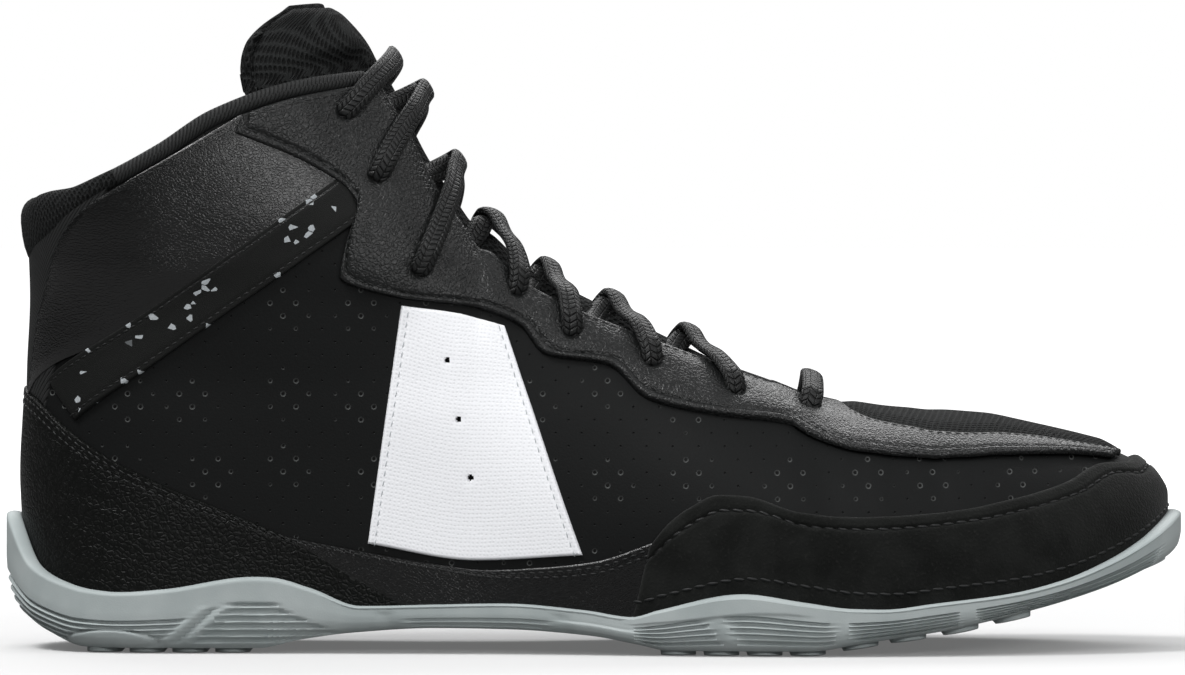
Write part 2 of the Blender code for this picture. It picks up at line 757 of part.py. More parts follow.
def make_collar_roll():
    """Padded roll that stands on the collar: thick at the heel, a thin binding at the sides."""
    count = 15
    lateral, medial = collar_path(count, -1), collar_path(count, 1)
    path = np.concatenate((lateral[::-1], medial[1:]))
    share = np.abs(np.linspace(-1, 1, len(path)))
    tangent = np.gradient(path, axis=0)
    tangent /= np.linalg.norm(tangent, axis=-1, keepdims=True)
    side_way = outward(path)
    side_way -= tangent * (side_way * tangent).sum(axis=-1, keepdims=True)
    side_way /= np.linalg.norm(side_way, axis=-1, keepdims=True)
    up = np.cross(side_way, tangent)
    up *= np.sign(up[:, 2:])
    width, bulge = np.moveaxis(smooth(ROLL, share), -1, 0) * ANKLE_WIDTH
    height = smooth(COLLAR, path[:, 0] / SHOE_LENGTH)[:, 1] * COLLAR_HEIGHT
    end = np.sqrt(np.clip(1 - np.clip((share - 0.93) / 0.075, 0, 1) ** 2, 0.05, 1))
    middle = path + up * (height / 2 + ROLL_GAP)[:, None] + side_way * (bulge - width / 2)[:, None]
    turn = np.linspace(0, 2 * math.pi, 10, endpoint=False)[:, None]
    power = 0.8
    across = np.sign(np.cos(turn)) * np.abs(np.cos(turn)) ** power * width * end / 2
    over = np.sign(np.sin(turn)) * np.abs(np.sin(turn)) ** power * height * end / 2
    rings = middle + across[..., None] * side_way + over[..., None] * up
    body = Solid()
    index = body.grid(np.moveaxis(rings, 1, 0))
    body.skin(index, closed=True)
    body.faces.append(index[0].tolist())
    body.faces.append(index[-1].tolist())
    return body.make("collar_roll", "mesh")


def side_points(rows, side):
    rows = np.array(rows)
    return at_side(rows[:, 0] * SHOE_LENGTH, height_of(rows[:, 1]), side)


def overlay(name, finish, foot, top, rows):
    """A skin of one thickness on the upper, between a lower and an upper edge."""
    share = np.linspace(0, 1, rows)[:, None, None]
    face = settle(foot + (top - foot) * share)
    normal = outward(face)
    outer = face + normal * (OVERLAY_GAP + OVERLAY_THICKNESS)
    return shell(name, finish, outer, face + normal * OVERLAY_GAP)


def cup_edge(start, end, count, side):
    """Lower edge of an overlay, down inside the cup between two places."""
    turn = np.linspace(0, 1, count)
    low, high = (math.acos(1 - 2 * np.clip((place - CUP_INSET) / (SHOE_LENGTH - 2 * CUP_INSET), 0, 1))
                 for place in (start, end))
    x = CUP_INSET + (SHOE_LENGTH - 2 * CUP_INSET) * (1 - np.cos(low + (high - low) * turn)) / 2
    return around(x, sole_heights(x)[1] + 2 * BED_GAP, side)


def make_heel_counter():
    """Leather counter that wraps round the heel."""
    count = 14
    height = height_of(COUNTER_BACK)
    back = np.array([shaft_back(height), float(centre_line(shaft_back(height))), height])
    top, foot = [], []
    for side in (-1, 1):
        top.append(through(np.vstack((side_points(COUNTER_TOP, side), back)), count))
        foot.append(cup_edge(COUNTER_FOOT * SHOE_LENGTH, CUP_INSET, count, side))
    top = np.vstack((top[0], top[1][-2::-1]))
    foot = np.vstack((foot[0], foot[1][-2::-1]))
    return overlay("heel_counter", "leather", foot, top, 4)


def make_arch_panel(name, side):
    """Leather strip above the sole between the counter and the rand."""
    count = 11
    gap = 1.6 * SEAM_GAP
    top = through(side_points(ARCH_TOP, side), count)
    start, end = top[0, 0] + gap, top[-1, 0] - SEAM_GAP
    x = start + (end - start) * (top[:, 0] - top[0, 0]) / (top[-1, 0] - top[0, 0])
    top = at_side(x, top[:, 2], side)
    foot = cup_edge(COUNTER_FOOT * SHOE_LENGTH + gap, RAND_FOOT * SHOE_LENGTH - SEAM_GAP, count, side)
    return overlay(name, "leather", foot, top, 4)


def make_toe_rand():
    """Suede rand round the forefoot, over the toe at its highest."""
    count = 17
    x = RAND_CENTRE * SHOE_LENGTH
    over_toe = from_above(x, centre_line(x))
    front = SHOE_LENGTH - CUP_INSET
    top, foot = [], []
    for side in (-1, 1):
        shoulder = from_above(0.951 * SHOE_LENGTH, centre_line(x) + side * 0.10 * BALL_WIDTH)
        line = np.vstack((side_points(RAND_TOP, side), shoulder, over_toe))
        top.append(through(line, count))
        foot.append(cup_edge(RAND_FOOT * SHOE_LENGTH, front, count, side))
    top = np.vstack((top[0], top[1][-2::-1]))
    foot = np.vstack((foot[0], foot[1][-2::-1]))
    return overlay("toe_rand", "suede", foot, top, 6)


def make_eyestay(name, side, cutter):
    """Grained leather beside the throat, with a stepped lower edge."""
    table = through(EYESTAY, 27, even=False)
    foot = at_side(table[:, 0] * SHOE_LENGTH, height_of(table[:, 1]), side)
    x = table[:, 2] * SHOE_LENGTH
    edge, roll = np.moveaxis(smooth(COLLAR, table[:, 2]), -1, 0)
    collar = at_side(x, height_of(edge) - roll * COLLAR_HEIGHT - SEAM_GAP, side)
    throat = throat_edge(x, side, SEAM_GAP)
    on_throat = (table[:, 2] > CORNER_ALONG)[:, None]
    top = np.where(on_throat, throat, collar)
    stay = overlay(name, "leather", foot, top, 4)
    combine(stay, cutter, "DIFFERENCE")
    return stay


def hole_points(side):
    return side_points(HOLES, side)


def make_hole_cutter(side, label):
    """Round punches along the face's normal, one for each lace hole, as one cutter."""
    body = Solid()
    for point in hole_points(side):
        axis = outward(point[None])[0]
        first = np.cross(axis, (0.0, 0.0, 1.0))
        first /= np.linalg.norm(first)
        second = np.cross(axis, first)
        turn = np.linspace(0, 2 * math.pi, 8, endpoint=False)[:, None]
        ring = (np.cos(turn) * first + np.sin(turn) * second) * HOLE_DIAMETER / 2 + point
        reach = axis * (UPPER_WALL + 2 * OVERLAY_THICKNESS)
        index = body.grid(np.stack((ring - reach, ring + reach)))
        body.skin(index, closed=True)
        for row in index:
            body.faces.append(row.tolist())
    return hide(body.make("holes_" + label, "synthetic"))


def make_strap(name, side):
    """Dark diagonal band from the heel up to the eyestay."""
    count = 9
    foot = through(side_points(STRAP_FOOT, side), count)
    top = through(side_points(STRAP_TOP, side), count)
    return overlay(name, "synthetic", foot, top, 3)


def make_saddle(name, side):
    """Plain white panel at the midfoot between arch panel and eyestay."""
    count = 5
    foot = through(side_points(SADDLE_FOOT, side), count)
    top = through(side_points(SADDLE_TOP, side), count)
    return overlay(name, "white_synthetic", foot, top, 7)


def lace_strand(name, path, up):
    """Flat oval lace along a path, with closed ends."""
    tangent = np.gradient(path, axis=0)
    tangent /= np.linalg.norm(tangent, axis=-1, keepdims=True)
    up = up - tangent * (up * tangent).sum(axis=-1, keepdims=True)
    up /= np.linalg.norm(up, axis=-1, keepdims=True)
    wide = np.cross(tangent, up)
    turn = np.linspace(0, 2 * math.pi, 6, endpoint=False)[:, None, None]
    rings = path + np.cos(turn) * wide * LACE_WIDTH / 2 + np.sin(turn) * up * LACE_THICKNESS / 2
    body = Solid()
    index = body.grid(np.moveaxis(rings, 1, 0))
    body.skin(index, closed=True)
    body.faces.append(index[0].tolist())
    body.faces.append(index[-1].tolist())
    return body.make(name, "lace")


def lace_path(start, crest, end, hump):
    """Run over the eyestay edge from a hole and across the throat, with a hump at the crossing."""
    crest = settle(crest[None])[0]
    line = settle(through((start, crest, end), 8))
    reach = np.linalg.norm(line - crest, axis=-1) / LACE_WIDTH
    height = OVERLAY_GAP + OVERLAY_THICKNESS + LACE_GAP + LACE_THICKNESS / 2
    height = height + hump * np.exp(-reach ** 2)
    return line + outward(line) * height[:, None], outward(line)


def make_laces():
    """The bar over the lowest holes and the crossings above it."""
    lateral, medial = hole_points(-1), hole_points(1)
    crest = np.array(HOLES)[:, 2] * SHOE_LENGTH
    crest = from_above(crest, centre_line(crest))
    for name, row in (("lace_top_bar", 0), ("lace_toe_bar", -1)):
        lace_strand(name, *lace_path(lateral[row], crest[row], medial[row], 0.0004))
    for number in range(1, len(HOLES) - 1):
        strands = []
        for name, start, other, hump in (
                ("lace_cross_%d", lateral[number], medial[number - 1], 0.0020),
                ("under_strand_%d", medial[number], lateral[number - 1], 0.0002)):
            # the far end stops inside the opposite edge of the throat
            stop = crest[number - 1] * 0.75 + crest[number] * 0.25
            stop = stop + (other - crest[number - 1]) * LACE_TUCK
            middle = (crest[number] + crest[number - 1]) / 2
            strands.append(lace_strand(name % number, *lace_path(start, middle, stop, hump)))
        combine(strands[0], strands[1], "UNION")


def main():
    for piece in list(bpy.data.objects):
        bpy.data.objects.remove(piece, do_unlink=True)
    make_outsole()
    upper = make_upper()
    make_insole()
    make_tongue()
    make_collar_roll()
    make_heel_counter()
    make_toe_rand()
    for side, label in ((-1, "lateral"), (1, "medial")):
        cutter = make_hole_cutter(side, label)
        # the exact solver loses this thin closed wall, so the manifold one cuts it
        combine(upper, cutter, "DIFFERENCE", "MANIFOLD")
        make_eyestay("eyestay_" + label, side, cutter)
        make_arch_panel("arch_panel_" + label, side)
        make_strap("strap_" + label, side)
        make_saddle("saddle_" + label, side)
    make_laces()


main()
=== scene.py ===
# Wrestling shoe, right foot, dressed over its CAD solids.
# Metres, +Z up, toe along +X, medial side along +Y; the tables below measure x from the heel.
import math

import bmesh
import bpy
import numpy as np
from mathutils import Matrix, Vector


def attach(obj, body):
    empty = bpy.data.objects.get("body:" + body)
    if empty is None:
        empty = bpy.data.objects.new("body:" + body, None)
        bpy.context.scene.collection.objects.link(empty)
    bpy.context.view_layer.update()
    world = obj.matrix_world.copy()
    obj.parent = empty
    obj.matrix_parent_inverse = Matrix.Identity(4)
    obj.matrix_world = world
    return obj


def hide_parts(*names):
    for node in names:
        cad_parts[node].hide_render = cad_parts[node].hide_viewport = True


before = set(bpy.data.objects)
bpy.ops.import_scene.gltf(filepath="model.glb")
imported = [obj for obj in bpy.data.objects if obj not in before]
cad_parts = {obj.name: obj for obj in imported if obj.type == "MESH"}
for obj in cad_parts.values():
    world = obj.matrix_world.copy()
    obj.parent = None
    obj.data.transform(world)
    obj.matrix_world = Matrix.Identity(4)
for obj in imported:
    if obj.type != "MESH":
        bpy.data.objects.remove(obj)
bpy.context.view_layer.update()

# sizes of the shoe, the same as in the CAD source
shoe = {
    "length": 0.286, "ballWidth": 0.100, "heelWidth": 0.069, "ankleWidth": 0.068,
    "instep": 0.102, "collar": 0.140, "tongue": 0.157, "instepLevel": 0.7286,
    "cupInset": 0.0048, "wall": 0.0018,
    "heelRound": 0.038, "toeRound": 0.047, "widest": 0.021,
    "sidePower": 2.2, "topPower": 2.3, "endPower": 2.4,
}
shaftRise = shoe["collar"] - shoe["instep"]
upperRun = shoe["length"] - 2 * shoe["cupInset"]
mm = 0.001

# along, spread (0 heel width, 1 ball width), lean (share of ball width)
planTable = (
    (0.00, -0.15, 0.010), (0.12, 0.02, 0.008), (0.25, 0.00, 0.002), (0.38, -0.02, -0.022),
    (0.50, 0.26, -0.030), (0.60, 0.72, -0.024), (0.67, 0.93, -0.010), (0.73, 0.99, 0.008),
    (0.80, 0.90, 0.024), (0.88, 0.64, 0.044), (1.00, 0.26, 0.070),
)
# along, share of the instep height, share of the shaft's rise
ridgeTable = (
    (0.000, 1.0, 8.00), (0.150, 1.0, 4.90), (0.250, 1.0, 2.30), (0.289, 1.0, 1.42),
    (0.316, 1.0, 1.06), (0.336, 1.0, 0.82), (0.360, 1.0, 0.46), (0.383, 1.0, 0.20),
    (0.405, 1.0, 0.00), (0.438, 0.927, 0.00), (0.472, 0.870, 0.00), (0.506, 0.822, 0.00),
    (0.560, 0.748, 0.00), (0.628, 0.658, 0.00), (0.676, 0.604, 0.00), (0.710, 0.572, 0.00),
    (0.748, 0.558, 0.00), (0.791, 0.549, 0.00), (0.833, 0.536, 0.00), (0.876, 0.513, 0.00),
    (0.918, 0.486, 0.00), (0.950, 0.458, 0.00), (0.972, 0.416, 0.00), (0.986, 0.360, 0.00),
    (1.000, 0.300, 0.00),
)
# level, back (share of length), ankle (0 foot width, 1 ankle width), waist
shaftTable = (
    (0.00, 0.0000, 0.0, 0.00), (0.20, 0.0000, 0.0, 0.00), (0.30, -0.0015, 0.1, 0.01),
    (0.40, 0.0002, 0.3, 0.03), (0.48, 0.0020, 0.5, 0.05), (0.60, 0.0053, 0.8, 0.04),
    (0.68, 0.0040, 1.0, 0.02), (0.76, 0.0015, 1.0, 0.00), (1.00, -0.0030, 1.0, 0.00),
    (1.30, -0.0080, 1.0, 0.00),
)
# along, level of the edge, roll height (share of the collar height)
collarTable = (
    (0.010, 0.770, 0.096), (0.035, 0.787, 0.060), (0.064, 0.800, 0.042), (0.098, 0.828, 0.027),
    (0.141, 0.874, 0.024), (0.185, 0.932, 0.024), (0.247, 0.978, 0.024), (0.315, 1.004, 0.024),
)
# share of the way from the heel, roll width and bulge (shares of the ankle width)
rollTable = (
    (0.00, 0.150, 0.026), (0.22, 0.130, 0.022), (0.42, 0.090, 0.012), (0.60, 0.062, 0.012),
    (1.00, 0.056, 0.012),
)
# along, half width of the throat (share of the ball width)
throatTable = (
    (0.313, 0.130), (0.360, 0.140), (0.450, 0.150), (0.550, 0.140), (0.650, 0.115), (0.715, 0.095),
)
cornerAlong, throatEnd, cornerTurn = 0.313, 0.715, 0.36
# along, rim top, cup floor and underside (shares of the instep height)
soleTable = (
    (0.000, 0.325, 0.120, 0.140), (0.021, 0.205, 0.105, 0.062),
    (0.043, 0.169, 0.095, 0.021), (0.066, 0.1505, 0.088, 0.001),
    (0.090, 0.1445, 0.088, 0.000), (0.128, 0.152, 0.088, 0.000), (0.204, 0.181, 0.092, 0.000),
    (0.218, 0.180, 0.092, 0.000), (0.255, 0.154, 0.088, 0.021),
    (0.298, 0.113, 0.082, 0.037), (0.366, 0.117, 0.084, 0.048),
    (0.425, 0.120, 0.084, 0.046), (0.493, 0.106, 0.070, 0.033),
    (0.535, 0.091, 0.060, 0.012), (0.558, 0.108, 0.060, 0.000),
    (0.629, 0.147, 0.062, 0.000), (0.680, 0.128, 0.062, 0.000),
    (0.720, 0.113, 0.066, 0.016), (0.748, 0.111, 0.075, 0.028),
    (0.791, 0.124, 0.092, 0.045), (0.855, 0.145, 0.118, 0.082),
    (0.897, 0.171, 0.142, 0.110), (0.940, 0.217, 0.174, 0.147),
    (0.972, 0.266, 0.200, 0.190), (1.000, 0.326, 0.225, 0.250),
)
# lace holes from the collar down: along, level, and where the lace passes the ridge
holeTable = (
    (0.288, 0.925, 0.318), (0.316, 0.815, 0.353), (0.352, 0.655, 0.386), (0.433, 0.617, 0.432),
    (0.480, 0.546, 0.482), (0.548, 0.495, 0.540), (0.618, 0.444, 0.608), (0.680, 0.418, 0.678),
)
# soft troughs and ridges: along, level, angle from the floor, half length mm, half width mm,
# depth mm (below 0 a ridge)
creaseTable = (
    (0.120, 0.560, 32, 26, 5.0, 0.50), (0.150, 0.660, 20, 24, 6.0, -0.35),
    (0.340, 0.560, 70, 16, 5.0, 0.45), (0.395, 0.530, 80, 15, 5.0, -0.30),
    (0.690, 0.300, 105, 16, 4.0, 0.55), (0.735, 0.310, 100, 15, 3.5, -0.35),
    (0.785, 0.330, 95, 15, 3.2, 0.45), (0.835, 0.330, 90, 12, 4.0, -0.25),
    (0.620, 0.170, 100, 9, 4.5, 0.35), (0.700, 0.150, 95, 8, 4.0, 0.30),
    (0.070, 0.230, 160, 9, 1.8, 0.35), (0.075, 0.270, 164, 9, 1.8, 0.30),
    (0.085, 0.190, 158, 8, 1.8, 0.25), (0.250, 0.700, 60, 12, 5.0, 0.30),
)


def unit(vectors):
    return vectors / np.maximum(np.linalg.norm(vectors, axis=-1, keepdims=True), 1e-12)


# running length along a row of points, from 0
def runOf(points):
    return np.append(0.0, np.cumsum(np.linalg.norm(np.diff(points, axis=0), axis=1)))


# a sine or cosine made fuller or flatter by a power, with its sign kept
def rounded(wave, power):
    return np.sign(wave) * np.abs(wave) ** power


# rise of a quarter round: 0 where the value is 0, level from 1 on
def quarterRound(value):
    return np.sqrt(1 - (1 - np.clip(value, 0, 1)) ** 2)


def bell(value, middle, width):
    return np.exp(-((value - middle) / width) ** 2)


# reads the columns of a table at some places, with smooth rises that never overshoot
def smooth(table, at):
    rows = np.array(table, dtype=float)
    place, value = rows[:, 0], rows[:, 1:]
    step = np.diff(place)[:, None]
    rise = np.diff(value, axis=0) / step
    slope = np.zeros_like(value)
    slope[0], slope[-1] = rise[0], rise[-1]
    same = rise[:-1] * rise[1:] > 0
    total = np.where(same, rise[:-1] + rise[1:], 1.0)
    slope[1:-1] = np.where(same, 2 * rise[:-1] * rise[1:] / total, 0.0)
    at = np.clip(np.asarray(at, dtype=float), place[0], place[-1])
    row = np.clip(np.searchsorted(place, at, side="right") - 1, 0, len(place) - 2)
    width = step[row]
    turn = (at - place[row])[..., None] / width
    low, high = value[row], value[row + 1]
    bend = turn * turn * (3 - 2 * turn)
    lift = turn * (1 - turn) ** 2 * slope[row] - turn * turn * (1 - turn) * slope[row + 1]
    return low + (high - low) * bend + lift * width


def columnsAt(table, x):
    return np.moveaxis(smooth(table, x / shoe["length"]), -1, 0)


# reads shares of a smooth curve through some points, evenly by length or by point
def through(points, share, even=True):
    points = np.array(points, dtype=float)
    place = np.arange(len(points), dtype=float)
    if even:
        place = runOf(points)
    return smooth(np.column_stack((place, points)), share * place[-1])


def smoothStep(low, high, value):
    turn = np.clip((value - low) / (high - low), 0, 1)
    return turn * turn * (3 - 2 * turn)


# a level is 0 on the floor, instepLevel at the instep's height and 1 at the collar's
def heightOf(level):
    foot = np.minimum(level, shoe["instepLevel"]) / shoe["instepLevel"]
    shaft = np.maximum(level - shoe["instepLevel"], 0) / (1 - shoe["instepLevel"])
    return foot * shoe["instep"] + shaft * shaftRise


def levelOf(height):
    foot = np.minimum(height, shoe["instep"]) / shoe["instep"]
    shaft = np.maximum(height - shoe["instep"], 0) / shaftRise
    return foot * shoe["instepLevel"] + shaft * (1 - shoe["instepLevel"])


# centre line and half width of the sole from above, before heel and toe are rounded
def outlineWidths(x):
    wider, lean = columnsAt(planTable, x)
    half = (shoe["heelWidth"] + wider * (shoe["ballWidth"] - shoe["heelWidth"])) / 2
    return lean * shoe["ballWidth"], half


centre, half = outlineWidths(np.linspace(0.3, 0.9, 400) * shoe["length"])
boxMiddle = ((centre + half).max() + (centre - half).min()) / 2


def centreLine(x):
    return outlineWidths(np.asarray(x, float))[0] - boxMiddle


def ridgeHeight(x):
    foot, shaft = columnsAt(ridgeTable, x)
    return foot * shoe["instep"] + shaft * shaftRise


# centre, half width, rounding of the ends and climb to the ridge at a place seen from the side
def section(x, z):
    back, ankle, waist = np.moveaxis(smooth(shaftTable, levelOf(z)), -1, 0)
    centre, half = outlineWidths(x)
    half = half - shoe["cupInset"]
    half = (half + (shoe["ankleWidth"] / 2 - half) * ankle) * (1 - waist)
    behind = shoe["cupInset"] + back * shoe["length"]
    heel = np.clip(1 - (x - behind) / shoe["heelRound"], 0, None)
    toe = np.clip(1 - (shoe["length"] - shoe["cupInset"] - x) / shoe["toeRound"], 0, None)
    ends = heel ** shoe["endPower"] + toe ** shoe["endPower"]
    rise = (z - shoe["widest"]) / (ridgeHeight(x) - shoe["widest"])
    climb = np.clip(rise, 0, None) ** shoe["topPower"]
    return centre - boxMiddle, half, ends, climb


# the upper's face: |across / half width| ^ power + climb to the ridge + rounded ends = 1
def form(points):
    x, y, z = np.moveaxis(points, -1, 0)
    centre, half, ends, climb = section(x, z)
    across = (np.abs(y - centre) / half) ** shoe["sidePower"]
    return across + climb * (1 - np.clip(ends, 0, 1)) + ends


def outward(points):
    slope = np.empty_like(points)
    for axis in range(3):
        shift = np.zeros(3)
        shift[axis] = 0.0002
        slope[..., axis] = form(points + shift) - form(points - shift)
    return unit(slope)


# halves the span from low, inside the form, to high, outside it, and keeps the inner end
def halved(low, high, isOutside, rounds):
    for _ in range(rounds):
        middle = (low + high) / 2
        outside = isOutside(middle)
        low, high = np.where(outside, low, middle), np.where(outside, middle, high)
    return low


# moves points along the form's slope onto its face, then out by a height
def settle(points, height=0.0):
    points = np.array(points, dtype=float)
    direction = outward(points)
    low, high = np.full(points.shape[:-1], -35 * mm), np.full(points.shape[:-1], 50 * mm)
    reach = halved(low, high, lambda out: form(points + direction * out[..., None]) > 1, 22)
    points = points + direction * reach[..., None]
    return points + outward(points) * np.asarray(height, dtype=float)[..., None]


# each crease is a bell across its line and a wider bell along it, plus long gentle waves
def creases(points):
    x, y, z = np.moveaxis(points, -1, 0)
    total = 0.14 * mm * (np.sin(x * 95 + z * 60) * np.sin(z * 120 - y * 40 + 1.0)
                         + 0.6 * np.sin(x * 170 + 2.0) * np.sin(y * 150 + z * 90))
    for along, level, angle, reach, width, depth in creaseTable:
        dx, dz = x - along * shoe["length"], z - heightOf(level)
        cosine, sine = math.cos(math.radians(angle)), math.sin(math.radians(angle))
        run, off = (dx * cosine + dz * sine) / mm, (dz * cosine - dx * sine) / mm
        bell = np.exp(-(run / reach) ** 2 - (off / width) ** 2)
        total = total - depth * mm * bell
    return total


# the point of the face at a place seen from the side: side is -1 lateral, 1 medial
def atSide(x, z, side):
    x, z = np.broadcast_arrays(np.asarray(x, float), np.asarray(z, float))
    centre, half, ends, climb = section(x, z)
    room = np.clip((1 - ends) * (1 - climb), 0, 1)
    return np.stack((x, centre + side * half * room ** (1 / shoe["sidePower"]), z), axis=-1)


def sidePoints(rows, side):
    rows = np.array(rows)
    return atSide(rows[:, 0] * shoe["length"], heightOf(rows[:, 1]), side)


# the point of the top face under a place seen from above
def fromAbove(x, y):
    x, y = np.broadcast_arrays(np.asarray(x, float), np.asarray(y, float))
    low, high = np.full(x.shape, shoe["widest"]), ridgeHeight(x)
    top = halved(low, high, lambda height: form(np.stack((x, y, height), axis=-1)) > 1, 30)
    return np.stack((x, y, top), axis=-1)


# heights of the rim, the cup's floor and the underside
def soleHeights(x):
    return columnsAt(soleTable, x) * shoe["instep"]


# points beside the sole: the face's widest outline carried straight down
def aroundFoot(x, height, side):
    points = atSide(x, np.minimum(height, shoe["widest"]), side)
    points[..., 2] = height
    return points


# places along the foot, dense at its ends: turn goes from 0 at the heel to pi at the toe
def stationsAt(turn):
    return shoe["cupInset"] + upperRun * (1 - np.cos(turn)) / 2


def sideStations(count):
    return stationsAt(np.linspace(0, math.pi, count))


# one loop from the heel along the lateral side to the toe and back along the medial side
def loopOf(lateral, medial):
    return np.concatenate((lateral, medial[..., -2:0:-1, :]), axis=-2)


# the foot's outline on the floor as a loop, its level outward directions, and its stations
def footLoop(count):
    x = sideStations(count)
    loop = loopOf(aroundFoot(x, 0 * x, -1), aroundFoot(x, 0 * x, 1))
    normal = outward(loop + (0, 0, shoe["widest"] / 2)) * (1, 1, 0)
    return loop, normal, np.append(x, x[-2:0:-1])


# closes such a loop with straight strips from its lateral half to its medial half
def acrossLoop(ring, count):
    half = len(ring) // 2 + 1
    low, high = ring[:half], np.concatenate((ring[:1], ring[:half - 2:-1]))
    return low + (high - low) * np.linspace(0, 1, count)[:, None, None]


def shaftBack(z):
    back = smooth(shaftTable, levelOf(np.asarray(z, float)))[..., 0]
    return shoe["cupInset"] + back * shoe["length"]


# the rearmost point of the heel at a level
def heelPoint(level):
    height = heightOf(level)
    x = shaftBack(height)
    return np.array([x, float(centreLine(x)), height])


# a point of the collar's edge on one side, under the roll by a gap
def collarEdge(x, side, gap):
    edge, roll = columnsAt(collarTable, x)
    return atSide(x, heightOf(edge) - roll * shoe["collar"] - gap, side)


# edge of the throat, rounded at its front end, moved out by a margin
def throatEdge(x, side, margin):
    half = columnsAt(throatTable, x)[0] * shoe["ballWidth"]
    half = half * quarterRound((throatEnd * shoe["length"] - x) / half) + margin
    return fromAbove(x, centreLine(x) + side * half)


# the upper's top edge on one side, from the heel to the front end of the throat
def topLine(count, side):
    turn = np.linspace(0, 1, count)
    corner = cornerAlong * shoe["length"]
    heelHeight = heightOf(collarTable[0][1]) - collarTable[0][2] * shoe["collar"]
    heelBack = shaftBack(heelHeight)
    part = np.clip(turn / cornerTurn, 0, 1)
    x = heelBack + (corner - heelBack) * (1 - np.cos(part * math.pi / 2))
    collar = collarEdge(x, side, 0.5 * mm)
    collar[0, 1] = centreLine(x[0])
    part = np.clip((turn - cornerTurn) / (1 - cornerTurn), 0, 1)
    x = corner + (throatEnd * shoe["length"] - corner) * np.sin(part * math.pi / 2)
    return np.where((turn <= cornerTurn)[:, None], collar, throatEdge(x, side, 0.0))


# running lengths over a grid in millimetres, along its rows and across them
def gridLengths(grid):
    along, across = np.zeros(grid.shape[:2]), np.zeros(grid.shape[:2])
    along[:, 1:] = np.cumsum(np.linalg.norm(np.diff(grid, axis=1), axis=-1), axis=1)
    across[1:] = np.cumsum(np.linalg.norm(np.diff(grid, axis=0), axis=-1), axis=0)
    return np.stack((along, across), axis=-1) / mm


class Skin:
    # grids of points gathered into one mesh; its UV map is in millimetres over each grid
    def __init__(self):
        self.points, self.faces, self.uvs, self.slots, self.count = [], [], [], [], 0

    def add(self, grid, wrap=False, slot=0, uv=None):
        grid = np.asarray(grid, float)
        if wrap:
            grid = np.concatenate((grid, grid[:, :1]), axis=1)
        uv = gridLengths(grid) if uv is None else uv
        index = np.arange(grid.shape[0] * grid.shape[1]).reshape(grid.shape[:2]) + self.count
        self.count += index.size
        self.points.append(grid.reshape(-1, 3))

        def corners(values):
            four = (values[:-1, :-1], values[:-1, 1:], values[1:, 1:], values[1:, :-1])
            return np.stack(four, axis=2)

        self.faces.append(corners(index).reshape(-1, 4))
        self.uvs.append(corners(uv).reshape(-1, 2))
        slots = np.broadcast_to(slot, (index.shape[0] - 1, index.shape[1] - 1))
        self.slots.append(slots.reshape(-1))

    # joins what touches, turns the faces outwards and links the piece
    def finish(self, name, materials, sharp=50):
        points = np.concatenate(self.points) - (shoe["length"] / 2, 0, 0)
        faces, uvs = np.concatenate(self.faces), np.concatenate(self.uvs)
        mesh = bpy.data.meshes.new(name)
        mesh.vertices.add(len(points))
        mesh.vertices.foreach_set("co", points.ravel())
        mesh.loops.add(faces.size)
        mesh.loops.foreach_set("vertex_index", faces.ravel().astype(np.int32))
        mesh.polygons.add(len(faces))
        mesh.polygons.foreach_set("loop_start", np.arange(0, faces.size, 4, dtype=np.int32))
        mesh.polygons.foreach_set("material_index", np.concatenate(self.slots).astype(np.int32))
        mesh.update(calc_edges=True)
        mesh.uv_layers.new(name="lengths").data.foreach_set("uv", uvs.ravel())
        body = bmesh.new()
        body.from_mesh(mesh)
        bmesh.ops.remove_doubles(body, verts=body.verts, dist=2e-6)
        bmesh.ops.recalc_face_normals(body, faces=body.faces)
        if body.calc_volume(signed=True) < 0:
            bmesh.ops.reverse_faces(body, faces=body.faces)
        body.to_mesh(mesh)
        body.free()
        mesh.shade_smooth()
        mesh.set_sharp_from_angle(angle=math.radians(sharp))
        for finish in materials:
            mesh.materials.append(finish)
        piece = bpy.data.objects.new(name, mesh)
        bpy.context.scene.collection.objects.link(piece)
        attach(piece, "root")
        print("made", name, len(mesh.polygons))
        return piece


def dress(piece, slot, *nodes):
    if nodes:
        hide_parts(*nodes)
    return piece


def tone(code):
    parts = np.array([int(code[i:i + 2], 16) for i in (1, 3, 5)]) / 255
    linear = np.where(parts <= 0.04045, parts / 12.92, ((parts + 0.055) / 1.055) ** 2.4)
    return (*linear.tolist(), 1.0)


